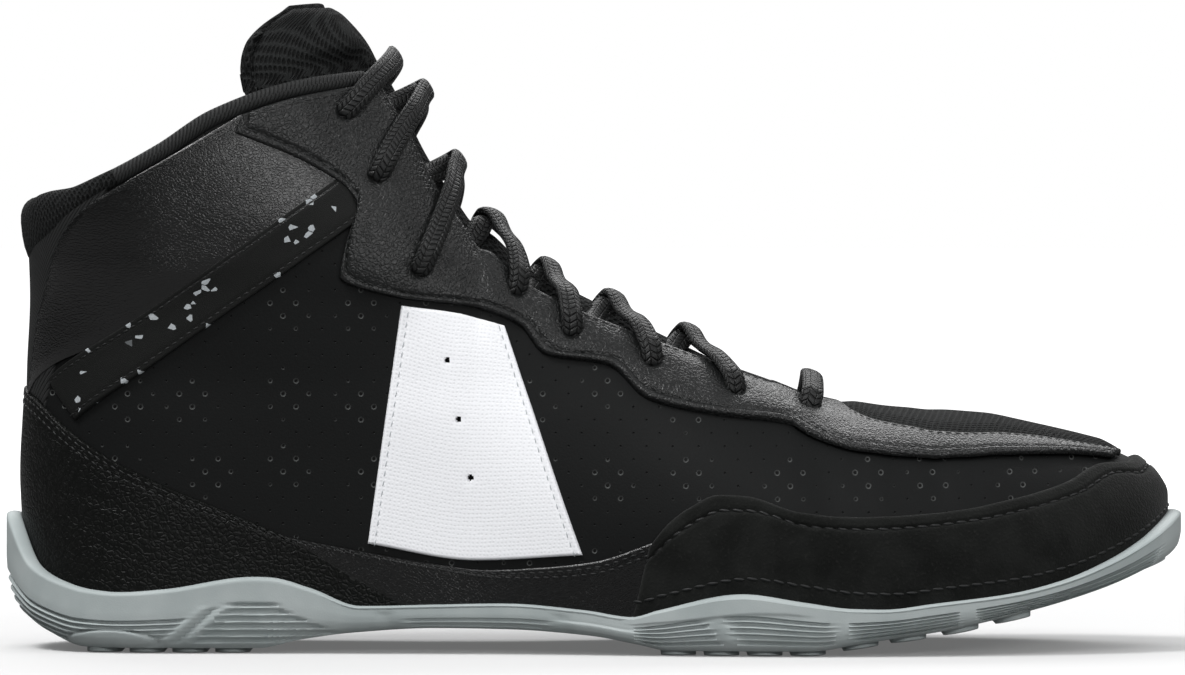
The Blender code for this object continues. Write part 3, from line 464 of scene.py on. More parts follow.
# a node tree with short calls for the nodes that repeat; the target takes what they make
class Nodes:
    def __init__(self, owner, target):
        owner.use_nodes = True
        self.tree = owner.node_tree
        self.target = self.tree.nodes[target].inputs

    # sets or links one input; a text is a colour
    def give(self, socket, value):
        if isinstance(value, bpy.types.NodeSocket):
            self.tree.links.new(value, socket)
        else:
            socket.default_value = tone(value) if isinstance(value, str) else value

    # adds a node with its settings and inputs
    def add(self, kind, settings=None, output=0, **inputs):
        node = self.tree.nodes.new("ShaderNode" + kind)
        for key, value in (settings or {}).items():
            setattr(node, key, value)
        for key, value in inputs.items():
            self.give(node.inputs[int(key[1:]) if key[1:].isdigit() else key.replace("_", " ")], value)
        return node.outputs[output]

    def noise(self, place, scale, detail, output=0):
        return self.add("TexNoise", None, output, Vector=place, Scale=scale, Detail=detail)

    # flat cells of a size, as distances or colours
    def cells(self, place, size, output="Distance", scatter=1.0, **settings):
        return self.add("TexVoronoi", {"voronoi_dimensions": "2D", **settings}, output,
                        Vector=place, Scale=1 / size, Randomness=scatter)

    def calc(self, operation, a, b=0.0, c=0.0):
        return self.add("Math", {"operation": operation}, i0=a, i1=b, i2=c)

    def ramp(self, value, low, high, start=0.0, end=1.0):
        return self.add("MapRange", {"interpolation_type": "SMOOTHSTEP"}, Value=value,
                        From_Min=low, From_Max=high, To_Min=start, To_Max=end)

    def mix(self, factor, a, b):
        return self.add("Mix", {"data_type": "RGBA"}, 2, i0=factor, i6=a, i7=b)

    # places turned by an angle in degrees and scaled
    def turned(self, place, angle, scale=(1.0, 1.0, 1.0)):
        return self.add("Mapping", None, Vector=place, Rotation=(0, 0, math.radians(angle)), Scale=scale)

    def paint(self, color):
        self.give(self.target["Base Color"], color)

    # a little fibre noise over a height, then a bump of a depth in millimetres
    def bump(self, height, depth, strength=1.0, fibre=None, share=0.0):
        if fibre is not None:
            height = self.calc("MULTIPLY_ADD", fibre, share, height)
        bump = self.add("Bump", None, Height=height, Distance=depth * mm, Strength=strength)
        self.give(self.target["Normal"], bump)


def newFinish(name, color, roughness, specular=0.5, sheen=0.0):
    made = bpy.data.materials.new(name)
    nodes = Nodes(made, "Principled BSDF")
    for key, value in {"Base Color": color, "Roughness": roughness, "Specular IOR Level": specular,
                       "Sheen Weight": sheen, "Sheen Roughness": 0.5}.items():
        nodes.give(nodes.target[key], value)
    return made, nodes


# pebbles of a leather grain: cell edges of a given size are the valleys, softened by noise
def leatherGrain(name, color, light, roughness, grain, depth, specular):
    made, nodes = newFinish(name, color, roughness, specular)
    place = nodes.add("TexCoord", output="Object")
    size = grain * mm
    stir = nodes.noise(place, 0.6 / size, 2.0, "Color")
    bent = nodes.add("VectorMath", {"operation": "MULTIPLY_ADD"}, i0=stir, i1=(size,) * 3, i2=place)
    edges = nodes.cells(bent, size, voronoi_dimensions="3D", feature="DISTANCE_TO_EDGE")
    pebble = nodes.ramp(edges, 0.0, 0.28)
    nodes.bump(pebble, depth, fibre=nodes.noise(place, 2.2 / size, 3.0), share=0.5)
    nodes.paint(nodes.mix(pebble, color, light))
    return made


# moulded rubber, matt: a fine spark-eroded skin, slightly uneven grey
def makeRubber():
    made, nodes = newFinish("moulded grey rubber", "#979f9f", 0.58, 0.25)
    place = nodes.add("TexCoord", output="Object")
    cloud = nodes.ramp(nodes.noise(place, 60.0, 3.0), 0.35, 0.65)
    nodes.paint(nodes.mix(cloud, "#939b9b", "#9da4a4"))
    nodes.bump(nodes.noise(place, 2600.0, 2.0), 0.05, 0.6)
    return made


# brushed microfibre, matt, with round punched pinholes in staggered rows that grow and fade:
# one lattice of cells places the holes, and a wider one sets their size by group. The holes'
# insides are painted darker as shade, and a lighter ring round each rim is a painted highlight.
def makeMicrofibre():
    made, nodes = newFinish("punched black microfibre", "#161817", 0.60, 0.10)
    place = nodes.add("TexCoord", output="Object")
    split = nodes.add("SeparateXYZ", None, Vector=place).node.outputs
    flat = nodes.add("CombineXYZ", None, X=split[0], Y=split[2])
    pitch, groupPitch = 4.4 * mm, 19.5 * mm    # neighbours on the diagonal, 3.1 mm between rows
    hole = nodes.cells(nodes.turned(flat, 45), pitch, scatter=0.0)
    group = nodes.cells(flat, groupPitch, scatter=0.35)
    ring = nodes.calc("SUBTRACT", hole, nodes.ramp(group, 0.18, 0.40, 0.125, 0.045))
    depth = nodes.ramp(ring, -0.035, 0.03)
    # painted highlight: a lighter grey ring round each hole's rim, stronger where the holes are bigger
    lip = nodes.ramp(nodes.calc("ABSOLUTE", ring), 0.0, 0.05, 1.0, 0.0)
    rimHighlightStrength = nodes.ramp(group, 0.20, 0.40, 0.85, 0.05)
    # painted shade: the inside of each hole is darker than the microfibre round it
    ground = nodes.mix(depth, "#020202", "#0e0f0f")
    nodes.paint(nodes.mix(nodes.calc("MULTIPLY", lip, rimHighlightStrength), ground, "#585a59"))
    nodes.bump(depth, 0.50, fibre=nodes.noise(place, 1800.0, 3.0), share=0.12)
    return made


# knitted spacer mesh: rows of small oval openings between raised yarns
def makeMesh(name, yarn, gap, across, along, turn, depth=0.35):
    made, nodes = newFinish(name, yarn, 0.85, 0.12)
    place = nodes.add("TexCoord", output="UV")
    cell = nodes.cells(nodes.turned(place, turn, (1 / across, 1 / along, 1.0)), 1.0, scatter=0.12)
    knit = nodes.ramp(cell, 0.18, 0.50)
    fibre = nodes.noise(place, 5.0, 3.0)
    fuzz = nodes.ramp(fibre, 0.45, 0.75, 0.0, 0.5)
    nodes.paint(nodes.mix(fuzz, nodes.mix(knit, gap, yarn), "#3c3e3e"))
    nodes.bump(knit, depth, fibre=fibre, share=0.35)
    return made


# split suede: no gloss, a short nap brushed in soft clouds
def makeSuede():
    made, nodes = newFinish("black suede split", "#141514", 1.0, 0.05, 0.08)
    place = nodes.add("TexCoord", output="Object")
    nap, cloud = nodes.noise(place, 1500.0, 4.0), nodes.noise(place, 110.0, 3.0)
    tint = nodes.mix(nodes.ramp(cloud, 0.3, 0.7), "#101110", "#191a19")
    nodes.paint(nodes.mix(nodes.ramp(nap, 0.55, 0.8, 0.0, 0.6), tint, "#282827"))
    nodes.bump(nap, 0.25)
    return made


# coated white synthetic: fine round dimples about 1 mm apart, satin
def makeWhite():
    made, nodes = newFinish("white dimpled synthetic", "#dcdde0", 0.45, 0.25)
    dimple = nodes.ramp(nodes.cells(nodes.add("TexCoord", output="UV"), 1.0, scatter=0.25), 0.05, 0.42)
    nodes.paint(nodes.mix(dimple, "#dadbde", "#e0e1e4"))
    nodes.bump(dimple, 0.06, 0.8)
    return made


# printed synthetic strap, matt: a few of its small cracked cells are pale, as angular specks
def makeSpeckled():
    ground, crack = "#0c0d0c", 1.5
    made, nodes = newFinish("speckled black synthetic", ground, 0.6, 0.15)
    place = nodes.add("TexCoord", output="UV")
    inner = nodes.cells(place, crack, feature="DISTANCE_TO_EDGE")
    picked = nodes.add("SeparateColor", None, Color=nodes.cells(place, crack, "Color"))
    speck = nodes.calc("MULTIPLY", nodes.ramp(picked, 0.953, 0.957), nodes.ramp(inner, 0.06, 0.09))
    nodes.paint(nodes.mix(speck, ground, "#9a9fa2"))
    nodes.bump(nodes.noise(place, 4.0, 2.0), 0.12)
    return made


# braid or twill: yarns run in slanting rows, folded into chevrons where fold is above 0
def makeBraid(name, yarn, gap, pitch, slant, fold, depth, rough=0.7):
    made, nodes = newFinish(name, yarn, rough, 0.3)
    place = nodes.add("TexCoord", output="UV")
    along, around = nodes.add("SeparateXYZ", None, Vector=place).node.outputs[:2]

    def wave(value, factor):
        turn = nodes.calc("SINE", nodes.calc("MULTIPLY", value, factor))
        return nodes.calc("ABSOLUTE", turn)

    bent = nodes.calc("PINGPONG", around, fold) if fold else around
    phase = nodes.calc("MULTIPLY_ADD", bent, slant, nodes.calc("DIVIDE", along, pitch))
    rows = nodes.ramp(wave(around, math.pi / fold), 0.0, 0.45) if fold else 1.0
    height = nodes.calc("MULTIPLY", nodes.ramp(wave(phase, math.pi), 0.0, 0.8), rows)
    fibre = nodes.noise(place, 6.0, 2.0)
    fuzz = nodes.ramp(fibre, 0.5, 0.8, 0.0, 0.35)
    nodes.paint(nodes.mix(fuzz, nodes.mix(height, gap, yarn), "#2c2e2f"))
    nodes.bump(height, depth, fibre=fibre, share=0.2)
    return made


rubber, microfibre, suede = makeRubber(), makeMicrofibre(), makeSuede()
white, speckled = makeWhite(), makeSpeckled()
stayLeather = leatherGrain("tumbled black leather", "#0f1010", "#151616", 0.36, 1.05, 0.09, 0.28)
counterLeather = leatherGrain("coarse black leather", "#080908", "#0c0d0c", 0.42, 1.3, 0.12, 0.12)
smoothLeather = leatherGrain("smooth black leather", "#080808", "#0b0c0c", 0.27, 0.75, 0.03, 0.38)
tongueMesh = makeMesh("black spacer mesh", "#1a1b1b", "#010101", 1.3, 2.0, 35, 0.6)
vampMesh = makeMesh("open black vamp mesh", "#1b1c1c", "#050505", 1.5, 0.95, 0)
rollMesh = makeMesh("open black collar mesh", "#1a1b1b", "#010101", 1.0, 1.6, 20, 0.5)
lining = makeMesh("black lining knit", "#101111", "#060606", 0.8, 0.8, 0, 0.15)
binding = makeBraid("black twill binding", "#191a1a", "#050505", 1.1, 0.5, 0, 0.25)
webbing = makeBraid("black ribbed webbing", "#131414", "#060606", 1.2, 0.35, 0, 0.25, 0.8)
braid = makeBraid("black braided polyester", "#171818", "#010101", 1.35, 0.55, 1.26, 0.45, 0.5)
# plain waxed and spun threads, and the raw edge inside a punched hole, each one even colour
blackThread = newFinish("black waxed thread", "#1b1c1c", 0.5, 0.25)[0]
paleThread = newFinish("pale grey thread", "#a7abae", 0.6, 0.2)[0]
holeDark = newFinish("dark punched edge", "#080808", 0.9, 0.1)[0]
print("materials ready")


# shares along a side, close together near its ends, where a panel's edge is rounded
def spread(count, length, edge):
    ends = np.array((0.0, 0.10, 0.32, 0.62)) * edge / length
    inner = np.linspace(edge / length, 1 - edge / length, count)
    return np.concatenate((ends, inner, 1 - ends[::-1]))


# along each column, the point where the distance first reaches the inset
def rowAt(grid, distance, inset):
    after = np.argmax(distance >= inset, axis=0)
    before = np.maximum(after - 1, 0)
    column = np.arange(grid.shape[1])
    low, high = distance[before, column], distance[after, column]
    share = np.clip((inset - low) / np.maximum(high - low, 1e-9), 0, 1)[:, None]
    return grid[before, column] * (1 - share) + grid[after, column] * share


# dents where the lace pulls the leather in round its holes
def holeDents(points):
    total = np.zeros(points.shape[:-1])
    for side in (-1, 1):
        for hole in sidePoints([row[:2] for row in holeTable], side):
            reach = np.linalg.norm(points - hole, axis=-1) / mm
            total = total - 1.1 * mm * np.exp(-(reach / 2.1) ** 4) - 0.35 * mm * np.exp(-(reach / 5) ** 2)
    return total


# A panel lies on the upper's face between two guide lines: straight strings between them are
# settled on the face and lifted, and the edge follows a quarter round. Its back lies 0.3 mm
# under what carries it, and both share their border. What comes back is its front and how far
# each point of it is from each edge.
# A look holds the grid's columns and rows, and in millimetres: thick, the edge's round, how far
# its carrier stands out (under) and the back is sunk, its puff, and its seams with their groove.
def panel(name, guides, finish, look, slot, *nodes):
    look = {"round": 0.7, "under": 0.0, "seams": (), "groove": 0.22, "seamEdges": ("foot", "top"),
            "puff": 0.0, "sunk": 0.3, **look}
    low, high = guides(np.linspace(0, 1, 60))
    long = max(np.linalg.norm(np.diff(line, axis=0), axis=1).sum() for line in (low, high))
    tall = np.linalg.norm(high - low, axis=1).max()
    edge = look["round"] * mm
    s, t = spread(look["columns"], long, edge), spread(look["rows"], tall, edge)
    low, high = guides(s)
    base = settle(low + (high - low) * t[:, None, None])
    uv = gridLengths(base)
    sizes = uv * mm
    away = {"foot": sizes[..., 1], "top": sizes[-1:, :, 1] - sizes[..., 1],
            "start": sizes[..., 0], "end": sizes[:, -1:, 0] - sizes[..., 0]}
    nearest = np.minimum.reduce([away[side] for side in ("foot", "top", "start", "end")])
    seen = np.minimum.reduce([away[side] for side in look["seamEdges"]])
    floor = look["under"] * mm - look["sunk"] * mm
    lift = floor + (look["thick"] * mm + look["sunk"] * mm) * quarterRound(nearest / edge)
    for seam in look["seams"]:
        lift = lift - look["groove"] * mm * bell(seen / mm, seam, 0.45)
    lift = lift + look["puff"] * mm * smoothStep(0, 6 * mm, nearest)
    if "extra" in look:
        lift = lift + look["extra"](base)
    normal, waves = outward(base), creases(base)
    front = base + normal * (lift + waves)[..., None]
    back = base + normal * (floor + waves)[..., None]
    border = np.zeros(base.shape[:2], bool)
    border[0] = border[-1] = border[:, 0] = border[:, -1] = True
    front[border] = back[border]
    skin = Skin()
    skin.add(front, uv=uv, slot=look["slots"](base[:-1, :-1]) if "slots" in look else 0)
    skin.add(back[::-1], uv=uv[::-1])
    dress(skin.finish(name, finish if isinstance(finish, list) else [finish]), slot, *nodes)
    return front, away


# guides between two rows of places seen from the side
def between(low, high, side):
    return lambda s: tuple(through(sidePoints(rows, side), s) for rows in (low, high))


stitches = {"black": [], "pale": []}


# one row of stitches along a path: centres at an even pitch, each with its direction and normal.
# A thread's look is its pitch, its stitches' length and its radius in millimetres.
def stitchRow(path, look, color="black", cut=(0.0, 1.0)):
    run, pitch = runOf(path), look[0] * mm
    at = np.arange(run[-1] * cut[0] + pitch / 2, run[-1] * cut[1] - pitch / 2, pitch)
    centres, ahead = (np.stack([np.interp(place, run, path[:, axis]) for axis in range(3)], axis=-1)
                      for place in (at, at + pitch / 3))
    stitches[color].append((centres, unit(ahead - centres), outward(centres), look[1] * mm / 2, look[2] * mm))


# stitches along one edge of a panel, inset by some millimetres
def sew(made, edge, inset, look, color="black", cut=(0.0, 1.0)):
    grid, gone = made[0], made[1][edge]
    if edge in ("start", "end"):
        grid, gone = np.swapaxes(grid, 0, 1), gone.T
    if edge in ("top", "end"):
        grid, gone = grid[::-1], gone[::-1]
    stitchRow(rowAt(grid, gone, inset * mm), look, color, cut)


# each stitch is one small capsule: rings round its length that narrow at both ends
def makeStitches(name, rows, finish):
    place = np.array((-1.0, -0.85, -0.4, 0.4, 0.85, 1.0))
    wide = np.array((0.0, 0.62, 1.0, 1.0, 0.62, 0.0))
    around = np.linspace(0, 2 * math.pi, 6, endpoint=False)
    cosine, sine = np.cos(around)[None, :, None], np.sin(around)[None, :, None]
    capsules = []
    for centres, tangent, normal, reach, radius in rows:
        centre, ahead, up = (vectors[:, None, None, :] for vectors in (centres, tangent, normal))
        across = np.cross(ahead, up)
        ring = cosine * across + sine * up
        # spun thread lies a little aslant, and its ends sag into the holes
        shift, sag, size = (values[None, :, None, None] for values in
                            (place * reach, -0.35 * radius * place ** 2, wide * radius))
        capsules.append(centre + (ahead + across * 0.10) * shift + up * sag + ring * size)
    capsules = np.concatenate(capsules)
    # all capsules side by side in one grid would bridge them, so the faces are tiled
    wrapped = np.concatenate((capsules, capsules[:, :, :1]), axis=2)
    index = np.arange(len(capsules) * 6 * 7).reshape(-1, 6, 7)
    quads = np.stack((index[:, :-1, :-1], index[:, :-1, 1:], index[:, 1:, 1:], index[:, 1:, :-1]), axis=-1)
    skin = Skin()
    skin.points.append(wrapped.reshape(-1, 3))
    skin.faces.append(quads.reshape(-1, 4))
    skin.uvs.append(np.zeros((quads.size, 2)))
    skin.slots.append(np.zeros(quads.size // 4, int))
    return skin.finish(name, [finish], sharp=80)


outsoleLook = {
    "stations": 270, "ribDepth": 1.0, "innerReach": 1.0, "lugDepth": 1.3, "sideInset": 3.5,
    "endInset": 8.5,
    # struts between the forefoot rib windows: share at the top, share at the foot
    "struts": ((0.594, 0.612, 0.612, 0.626), (0.702, 0.717, 0.706, 0.721),
               (0.810, 0.824, 0.814, 0.828)),
    "lugs": (0.088, 0.124, 0.160, 0.196, 0.570, 0.606, 0.642, 0.678, 0.722, 0.762, 0.806, 0.850),
    "lugRadius": 4.25,
    # share of a tread bar's outline and rise in millimetres, from its sole upwards
    "lugRows": ((0.0, 0.0), (0.55, 0.0), (0.93, 0.0), (0.985, 0.12), (1.0, 0.4), (1.0, 2.2), (0.0, 2.2)),
    "rimRound": 0.9, "strips": 40, "groovePitch": 4.6, "grooveDepth": 0.5,
}
# Relief of the sole's side: where each part begins and ends and how soft its ends are, by the
# share along, by the drop from the rim (0) to the underside (1), and by the height in
# millimetres; then how deep it is in millimetres, below 0 where it stands out
relief = {
    "along": {"fore": (0.535, 0.985, 0.012), "pod": (0.470, 0.545, 0.006), "lip": (0.530, 0.690, 0.02),
              "arch": (0.335, 0.465, 0.01)},
    "drop": {"fore": (0.36, 0.90, 0.03), "pod": (0.45, 0.90, 0.12), "rear": (0.50, 0.99, 0.03),
             "arch": (0.52, 0.93, 0.05)},
    "height": {"window": (2.4, 12.6, 0.8), "gap": (2.0, 11.5, 1.0), "strut": (2.0, 12.0, 1.5)},
    "depth": {"lip": -0.35, "oval": 0.7, "gap": 0.6, "strut": -0.25, "notch": 0.5, "arch": 0.6,
              "pod": -0.4},
    "notches": (0.322, 0.476), "windowRib": 1.75, "rearRibs": 5.5, "archRibs": 2,
}


# Depth of the side relief in millimetres at a place. Each part is a soft mask, and ribs are a
# saw of ledges.
def sideRelief(share, drop, height):
    def mask(value, low, high, soft):
        return smoothStep(low, low + soft, value) * (1 - smoothStep(high - soft, high, value))

    def saw(turn):
        return smoothStep(0.05, 0.30, turn % 1) * (1 - smoothStep(0.62, 0.98, turn % 1))

    # a number of ribs down one of the spans of the drop
    def ribs(name, count):
        low, high, _ = drops[name]
        return saw((drop - low) * count / (high - low))

    along, drops, heights, depth = (relief[key] for key in ("along", "drop", "height", "depth"))
    pod = mask(share, *along["pod"])
    # forefoot windows between struts that slant forward going down
    fore = mask(share, *along["fore"]) * mask(drop, *drops["fore"]) * (1 - pod)
    lean = np.clip((drop - 0.3) / 0.6, 0, 1)
    for topStart, topEnd, footStart, footEnd in outsoleLook["struts"]:
        start = topStart + (footStart - topStart) * lean
        end = topEnd + (footEnd - topEnd) * lean
        fore = fore * (1 - mask(share, start - 0.004, end + 0.004, 0.004))
    total = fore * ribs("fore", 5.0 + 1.5 * smoothStep(0.84, 0.92, share))
    # the second rim line: a raised lip that ends in a step
    foot = 0.30 + 0.10 * np.sin(np.clip((share - 0.54) / 0.13, 0, 1) * math.pi)
    lip = mask(share, *along["lip"]) * smoothStep(0.0, 0.03, drop) * (1 - smoothStep(foot - 0.06, foot, drop))
    total += depth["lip"] * lip
    # heel: long ribs behind the slanted double strut and a window ahead of it
    slant = 0.134 + 0.036 * np.clip((height - 2) / 9, 0, 1)
    strut = sum(mask(share, slant + low, slant + low + 0.011, 0.003) for low in (-0.014, 0.004))
    gap = mask(share, slant - 0.003, slant + 0.004, 0.002)
    front = 0.226 + 0.064 * (1 - smoothStep(2.5, 12.5, height))
    window = mask(share, slant + 0.012, front, 0.006) * mask(height, *heights["window"])
    total += window * saw((height - heights["window"][0]) / relief["windowRib"])
    rear = (1 - smoothStep(slant - 0.020, slant - 0.012, share)) * mask(drop, *drops["rear"])
    oval = ((share - 0.082) / 0.036) ** 2 + ((height - 2.9) / 2.6) ** 2
    total += rear * smoothStep(1.0, 1.35, oval) * ribs("rear", relief["rearRibs"])
    total += depth["oval"] * bell(oval, 1.15, 0.22) * (share < 0.13)
    total += depth["gap"] * gap * mask(height, *heights["gap"])
    total += depth["strut"] * strut * mask(height, *heights["strut"])
    # arch: two shallow chevron notches and the rounded pod ahead of them
    for place in relief["notches"]:
        notch = np.abs(share - place - 0.012 * (drop - 0.5)) / 0.004
        total += depth["notch"] * np.exp(-notch ** 2) * smoothStep(0.15, 0.4, drop)
    arch = mask(share, *along["arch"]) * mask(drop, *drops["arch"])
    total += depth["arch"] * arch * ribs("arch", relief["archRibs"])
    return total + depth["pod"] * pod * mask(drop, *drops["pod"])


# Rings round the foot: up the cup's inner wall, over the rim, down the ribbed side and under.
def makeOutsole():
    look, inset = outsoleLook, shoe["cupInset"]
    loop, normal, stations = footLoop(look["stations"])
    reachOut = (stations - inset) / upperRun * shoe["length"]
    rim, floor = soleHeights(reachOut)[0], soleHeights(stations)[1]
    under = soleHeights(loop[:, 0] + normal[:, 0] * (inset - 0.008 * normal[:, 0] ** 2))[2]
    under = under + look["lugDepth"] * mm
    pull = (look["sideInset"] + (look["endInset"] - look["sideInset"]) * normal[:, 0] ** 2) * mm

    def ring(reach, height):
        points = loop + normal * np.broadcast_to(reach, stations.shape)[:, None]
        points[:, 2] = height
        return points

    inner = look["innerReach"] * mm
    middle, lip = (inner + inset) / 2, look["rimRound"] * mm
    rings = [ring(inner, floor), ring(inner, rim - lip)]
    for turn in np.linspace(0, math.pi / 2, 5):
        rings.append(ring(middle - (middle - inner) * math.cos(turn), rim - lip * (1 - math.sin(turn))))
    for turn in np.linspace(0.3, math.pi / 2, 4):
        rings.append(ring(middle + (inset - middle) * math.sin(turn), rim - lip * (1 - math.cos(turn))))
    share = reachOut / shoe["length"]
    # how far the side tucks in: straight for two thirds, then rounded to the underside
    drops = np.linspace(0.08, 1.0, 62)
    tuck = smooth(((0, 0), (0.35, 0.0), (0.6, 0.06), (0.8, 0.26), (0.92, 0.58), (1.0, 1.0)), drops)[:, 0]
    for drop, back in zip(drops, tuck):
        height = rim + (under - rim) * drop
        depth = sideRelief(share, np.full_like(share, drop), height / mm) * look["ribDepth"] * mm
        rings.append(ring(inset - pull * back - depth * (1 - smoothStep(0.93, 1.0, drop)), height))
    skin = Skin()
    skin.add(np.array(rings), wrap=True)
    skin.add(acrossLoop(rings[0], look["strips"]))
    # transverse flex grooves under the sole, fading to its edge
    under = acrossLoop(rings[-1], look["strips"])
    groove = smoothStep(0.35, 0.9, np.sin(under[..., 0] / (look["groovePitch"] * mm) * math.pi))
    fade = np.sin(np.linspace(0, 1, look["strips"]) * math.pi)[:, None] ** 0.4
    under[1:-1, :, 2] += (look["grooveDepth"] * mm * groove * fade)[1:-1]
    skin.add(under)
    return skin.finish("rubberCupSole", [rubber], sharp=38)


# Low tread bars with round ends, their tops sunk into the sole: a rounded outline carried down.
def makeLugs():
    look, skin = outsoleLook, Skin()
    around = np.linspace(0, 2 * math.pi, 40, endpoint=False)
    for place in look["lugs"]:
        middle = place * shoe["length"]
        edges = [aroundFoot(np.array([middle]), np.array([0.0]), side)[0, 1] for side in (-1, 1)]
        reach = (shoe["cupInset"] / mm - look["sideInset"] - look["lugDepth"]) * mm
        low, high = edges[0] - reach, edges[1] + reach
        radius = look["lugRadius"] * mm
        half = (high - low) / 2 - radius
        x = middle + radius * np.cos(around)
        y = (high + low) / 2 + radius * np.sin(around) + half * np.sign(np.sin(around))
        centre = np.array((middle, (high + low) / 2, 0.0))
        rows = []
        for size, rise in look["lugRows"]:
            points = centre + (np.stack((x, y, 0 * x), axis=-1) - centre) * (size, size, 1)
            points[:, 2] = soleHeights(points[:, 0])[2] + rise * mm
            rows.append(points)
        skin.add(np.array(rows), wrap=True)
    return skin.finish("treadBars", [rubber], sharp=40)


dress(makeOutsole(), "rubber", "outsole")
dress(makeLugs(), "rubber")


upperLook = {"stations": 190, "rows": 60, "lowRows": 1.25}


# The shell runs from the feather edge to the collar and throat, with its inner face 1.8 mm in.
def makeUpper():
    look = upperLook
    x = sideStations(look["stations"])
    feather = soleHeights(x)[1] + 0.6 * mm
    sides = []
    for side in (-1, 1):
        foot, top = aroundFoot(x, feather, side), topLine(look["stations"], side)
        share = np.linspace(0, 1, look["rows"])[:, None, None] ** look["lowRows"]
        face = settle(foot + (top - foot) * share)
        face[0], face[-1] = foot, top
        sides.append(face)
    face = loopOf(*sides)
    normal = outward(face)
    waves = creases(face)
    waves = waves * smoothStep(0, 0.15, np.linspace(0, 1, look["rows"]))[:, None]
    outer = face + normal * (waves + 0.6 * holeDents(face))[..., None]
    inner = face + normal * (waves - shoe["wall"])[..., None]
    inner[0, :, 2] = outer[0, :, 2]
    skin = Skin()
    skin.add(outer, wrap=True)
    skin.add(inner[::-1], wrap=True, slot=1)
    skin.add(np.stack((inner[0], outer[0])), wrap=True, slot=1)
    skin.add(np.stack((outer[-1], inner[-1])), wrap=True, slot=1)
    return skin.finish("upperShell", [microfibre, lining])


dress(makeUpper(), "synthetic", "upper")


# flat footbed on the cup's floor: rings inwards from the upper's inner face, with a soft edge
def makeFootbed():
    loop, normal, stations = footLoop(90)
    floor = soleHeights(stations)[1] + 0.6 * mm
    skin = Skin()
    rings = []
    for inset, rise in ((2.4, 0.0), (2.4, 2.9), (2.8, 3.4), (3.6, 3.5)):
        ring = loop - normal * inset * mm
        ring[:, 2] = floor + rise * mm
        rings.append(ring)
    skin.add(np.array(rings), wrap=True)
    for end in (rings[0], rings[-1]):
        skin.add(acrossLoop(end, 24))
    return skin.finish("knitFootbed", [lining])


dress(makeFootbed(), "foam", "insole")

# guides of the upper's panels: rows of along, level
counterTop = ((0.241, 0.200), (0.224, 0.215), (0.178, 0.255), (0.137, 0.290), (0.091, 0.336),
              (0.055, 0.386), (0.030, 0.432))
archTop = ((0.236, 0.203), (0.304, 0.177), (0.360, 0.157), (0.410, 0.145), (0.456, 0.150),
           (0.501, 0.161), (0.552, 0.196))
randTop = ((0.546, 0.186), (0.563, 0.228), (0.582, 0.256), (0.603, 0.274), (0.625, 0.272),
           (0.672, 0.244), (0.725, 0.236), (0.804, 0.247), (0.849, 0.264), (0.895, 0.290), (0.925, 0.318))
strapTop = ((0.040, 0.468), (0.155, 0.632), (0.290, 0.825))
strapFoot = ((0.064, 0.398), (0.174, 0.556), (0.305, 0.743))
saddleTop = ((0.338, 0.596), (0.385, 0.582), (0.424, 0.560))
saddleFoot = ((0.310, 0.188), (0.400, 0.160), (0.490, 0.170))
# eyestay: lower edge along, level, and along on the throat or collar
eyestayTable = (
    (0.198, 0.890, 0.205), (0.251, 0.846, 0.250), (0.292, 0.792, 0.285), (0.300, 0.762, 0.318),
    (0.290, 0.694, 0.342), (0.286, 0.645, 0.362), (0.330, 0.611, 0.400), (0.400, 0.590, 0.440),
    (0.436, 0.560, 0.470), (0.459, 0.510, 0.505), (0.510, 0.492, 0.540), (0.545, 0.434, 0.580),
    (0.600, 0.408, 0.625), (0.660, 0.392, 0.665), (0.700, 0.372, 0.690), (0.728, 0.380, 0.702),
)
# the vamp strip's lower seam and its upper border after the throat
vampSeam = ((0.630, 0.452), (0.651, 0.410), (0.682, 0.369), (0.727, 0.340), (0.804, 0.332),
            (0.872, 0.334), (0.937, 0.326))
vampUpper = ((0.716, 0.404), (0.735, 0.388), (0.797, 0.369), (0.865, 0.360), (0.910, 0.346),
             (0.946, 0.332))
heelBorder = ((0.020, 0.425), (0.026, 0.499), (0.031, 0.568), (0.038, 0.621), (0.047, 0.690),
              (0.060, 0.735), (0.083, 0.776))
sides = ((-1, "Lateral", "_lateral"), (1, "Medial", "_medial"))


# foot edge hidden inside the cup between two places
def cupGuide(start, end, side, s):
    shares = ((place * shoe["length"] - shoe["cupInset"]) / upperRun for place in (start, end))
    low, high = (math.acos(1 - 2 * np.clip(share, 0, 1)) for share in shares)
    x = stationsAt(low + (high - low) * s)
    return aroundFoot(x, soleHeights(x)[1] + 1.6 * mm, side)


# guides round the foot, each of two halves that meet in the middle: lateral first, then medial
def bothSides(*halves):
    def guides(s):
        first, second = s <= 0.5, s > 0.5
        return tuple(np.concatenate((half(-1, s[first] * 2), half(1, (1 - s[second]) * 2)))
                     for half in halves)
    return guides


# smooth leather from the heel strip to the eyestay, on strings that run forward
def makeShaftPanels():
    ahead = ((0.314, 0.772), (0.308, 0.812), (0.270, 0.852), (0.224, 0.892), (0.205, 0.926))
    for side, word, _ in sides:
        made = panel("shaftPanel" + word, between(((0.018, 0.400),) + heelBorder, ahead, side), smoothLeather,
                     {"columns": 60, "rows": 60, "thick": 0.7, "puff": 0.3}, "leather")
        for edge, inset in (("foot", 1.4), ("end", 2.2)):
            sew(made, edge, inset, (2.4, 1.7, 0.16))


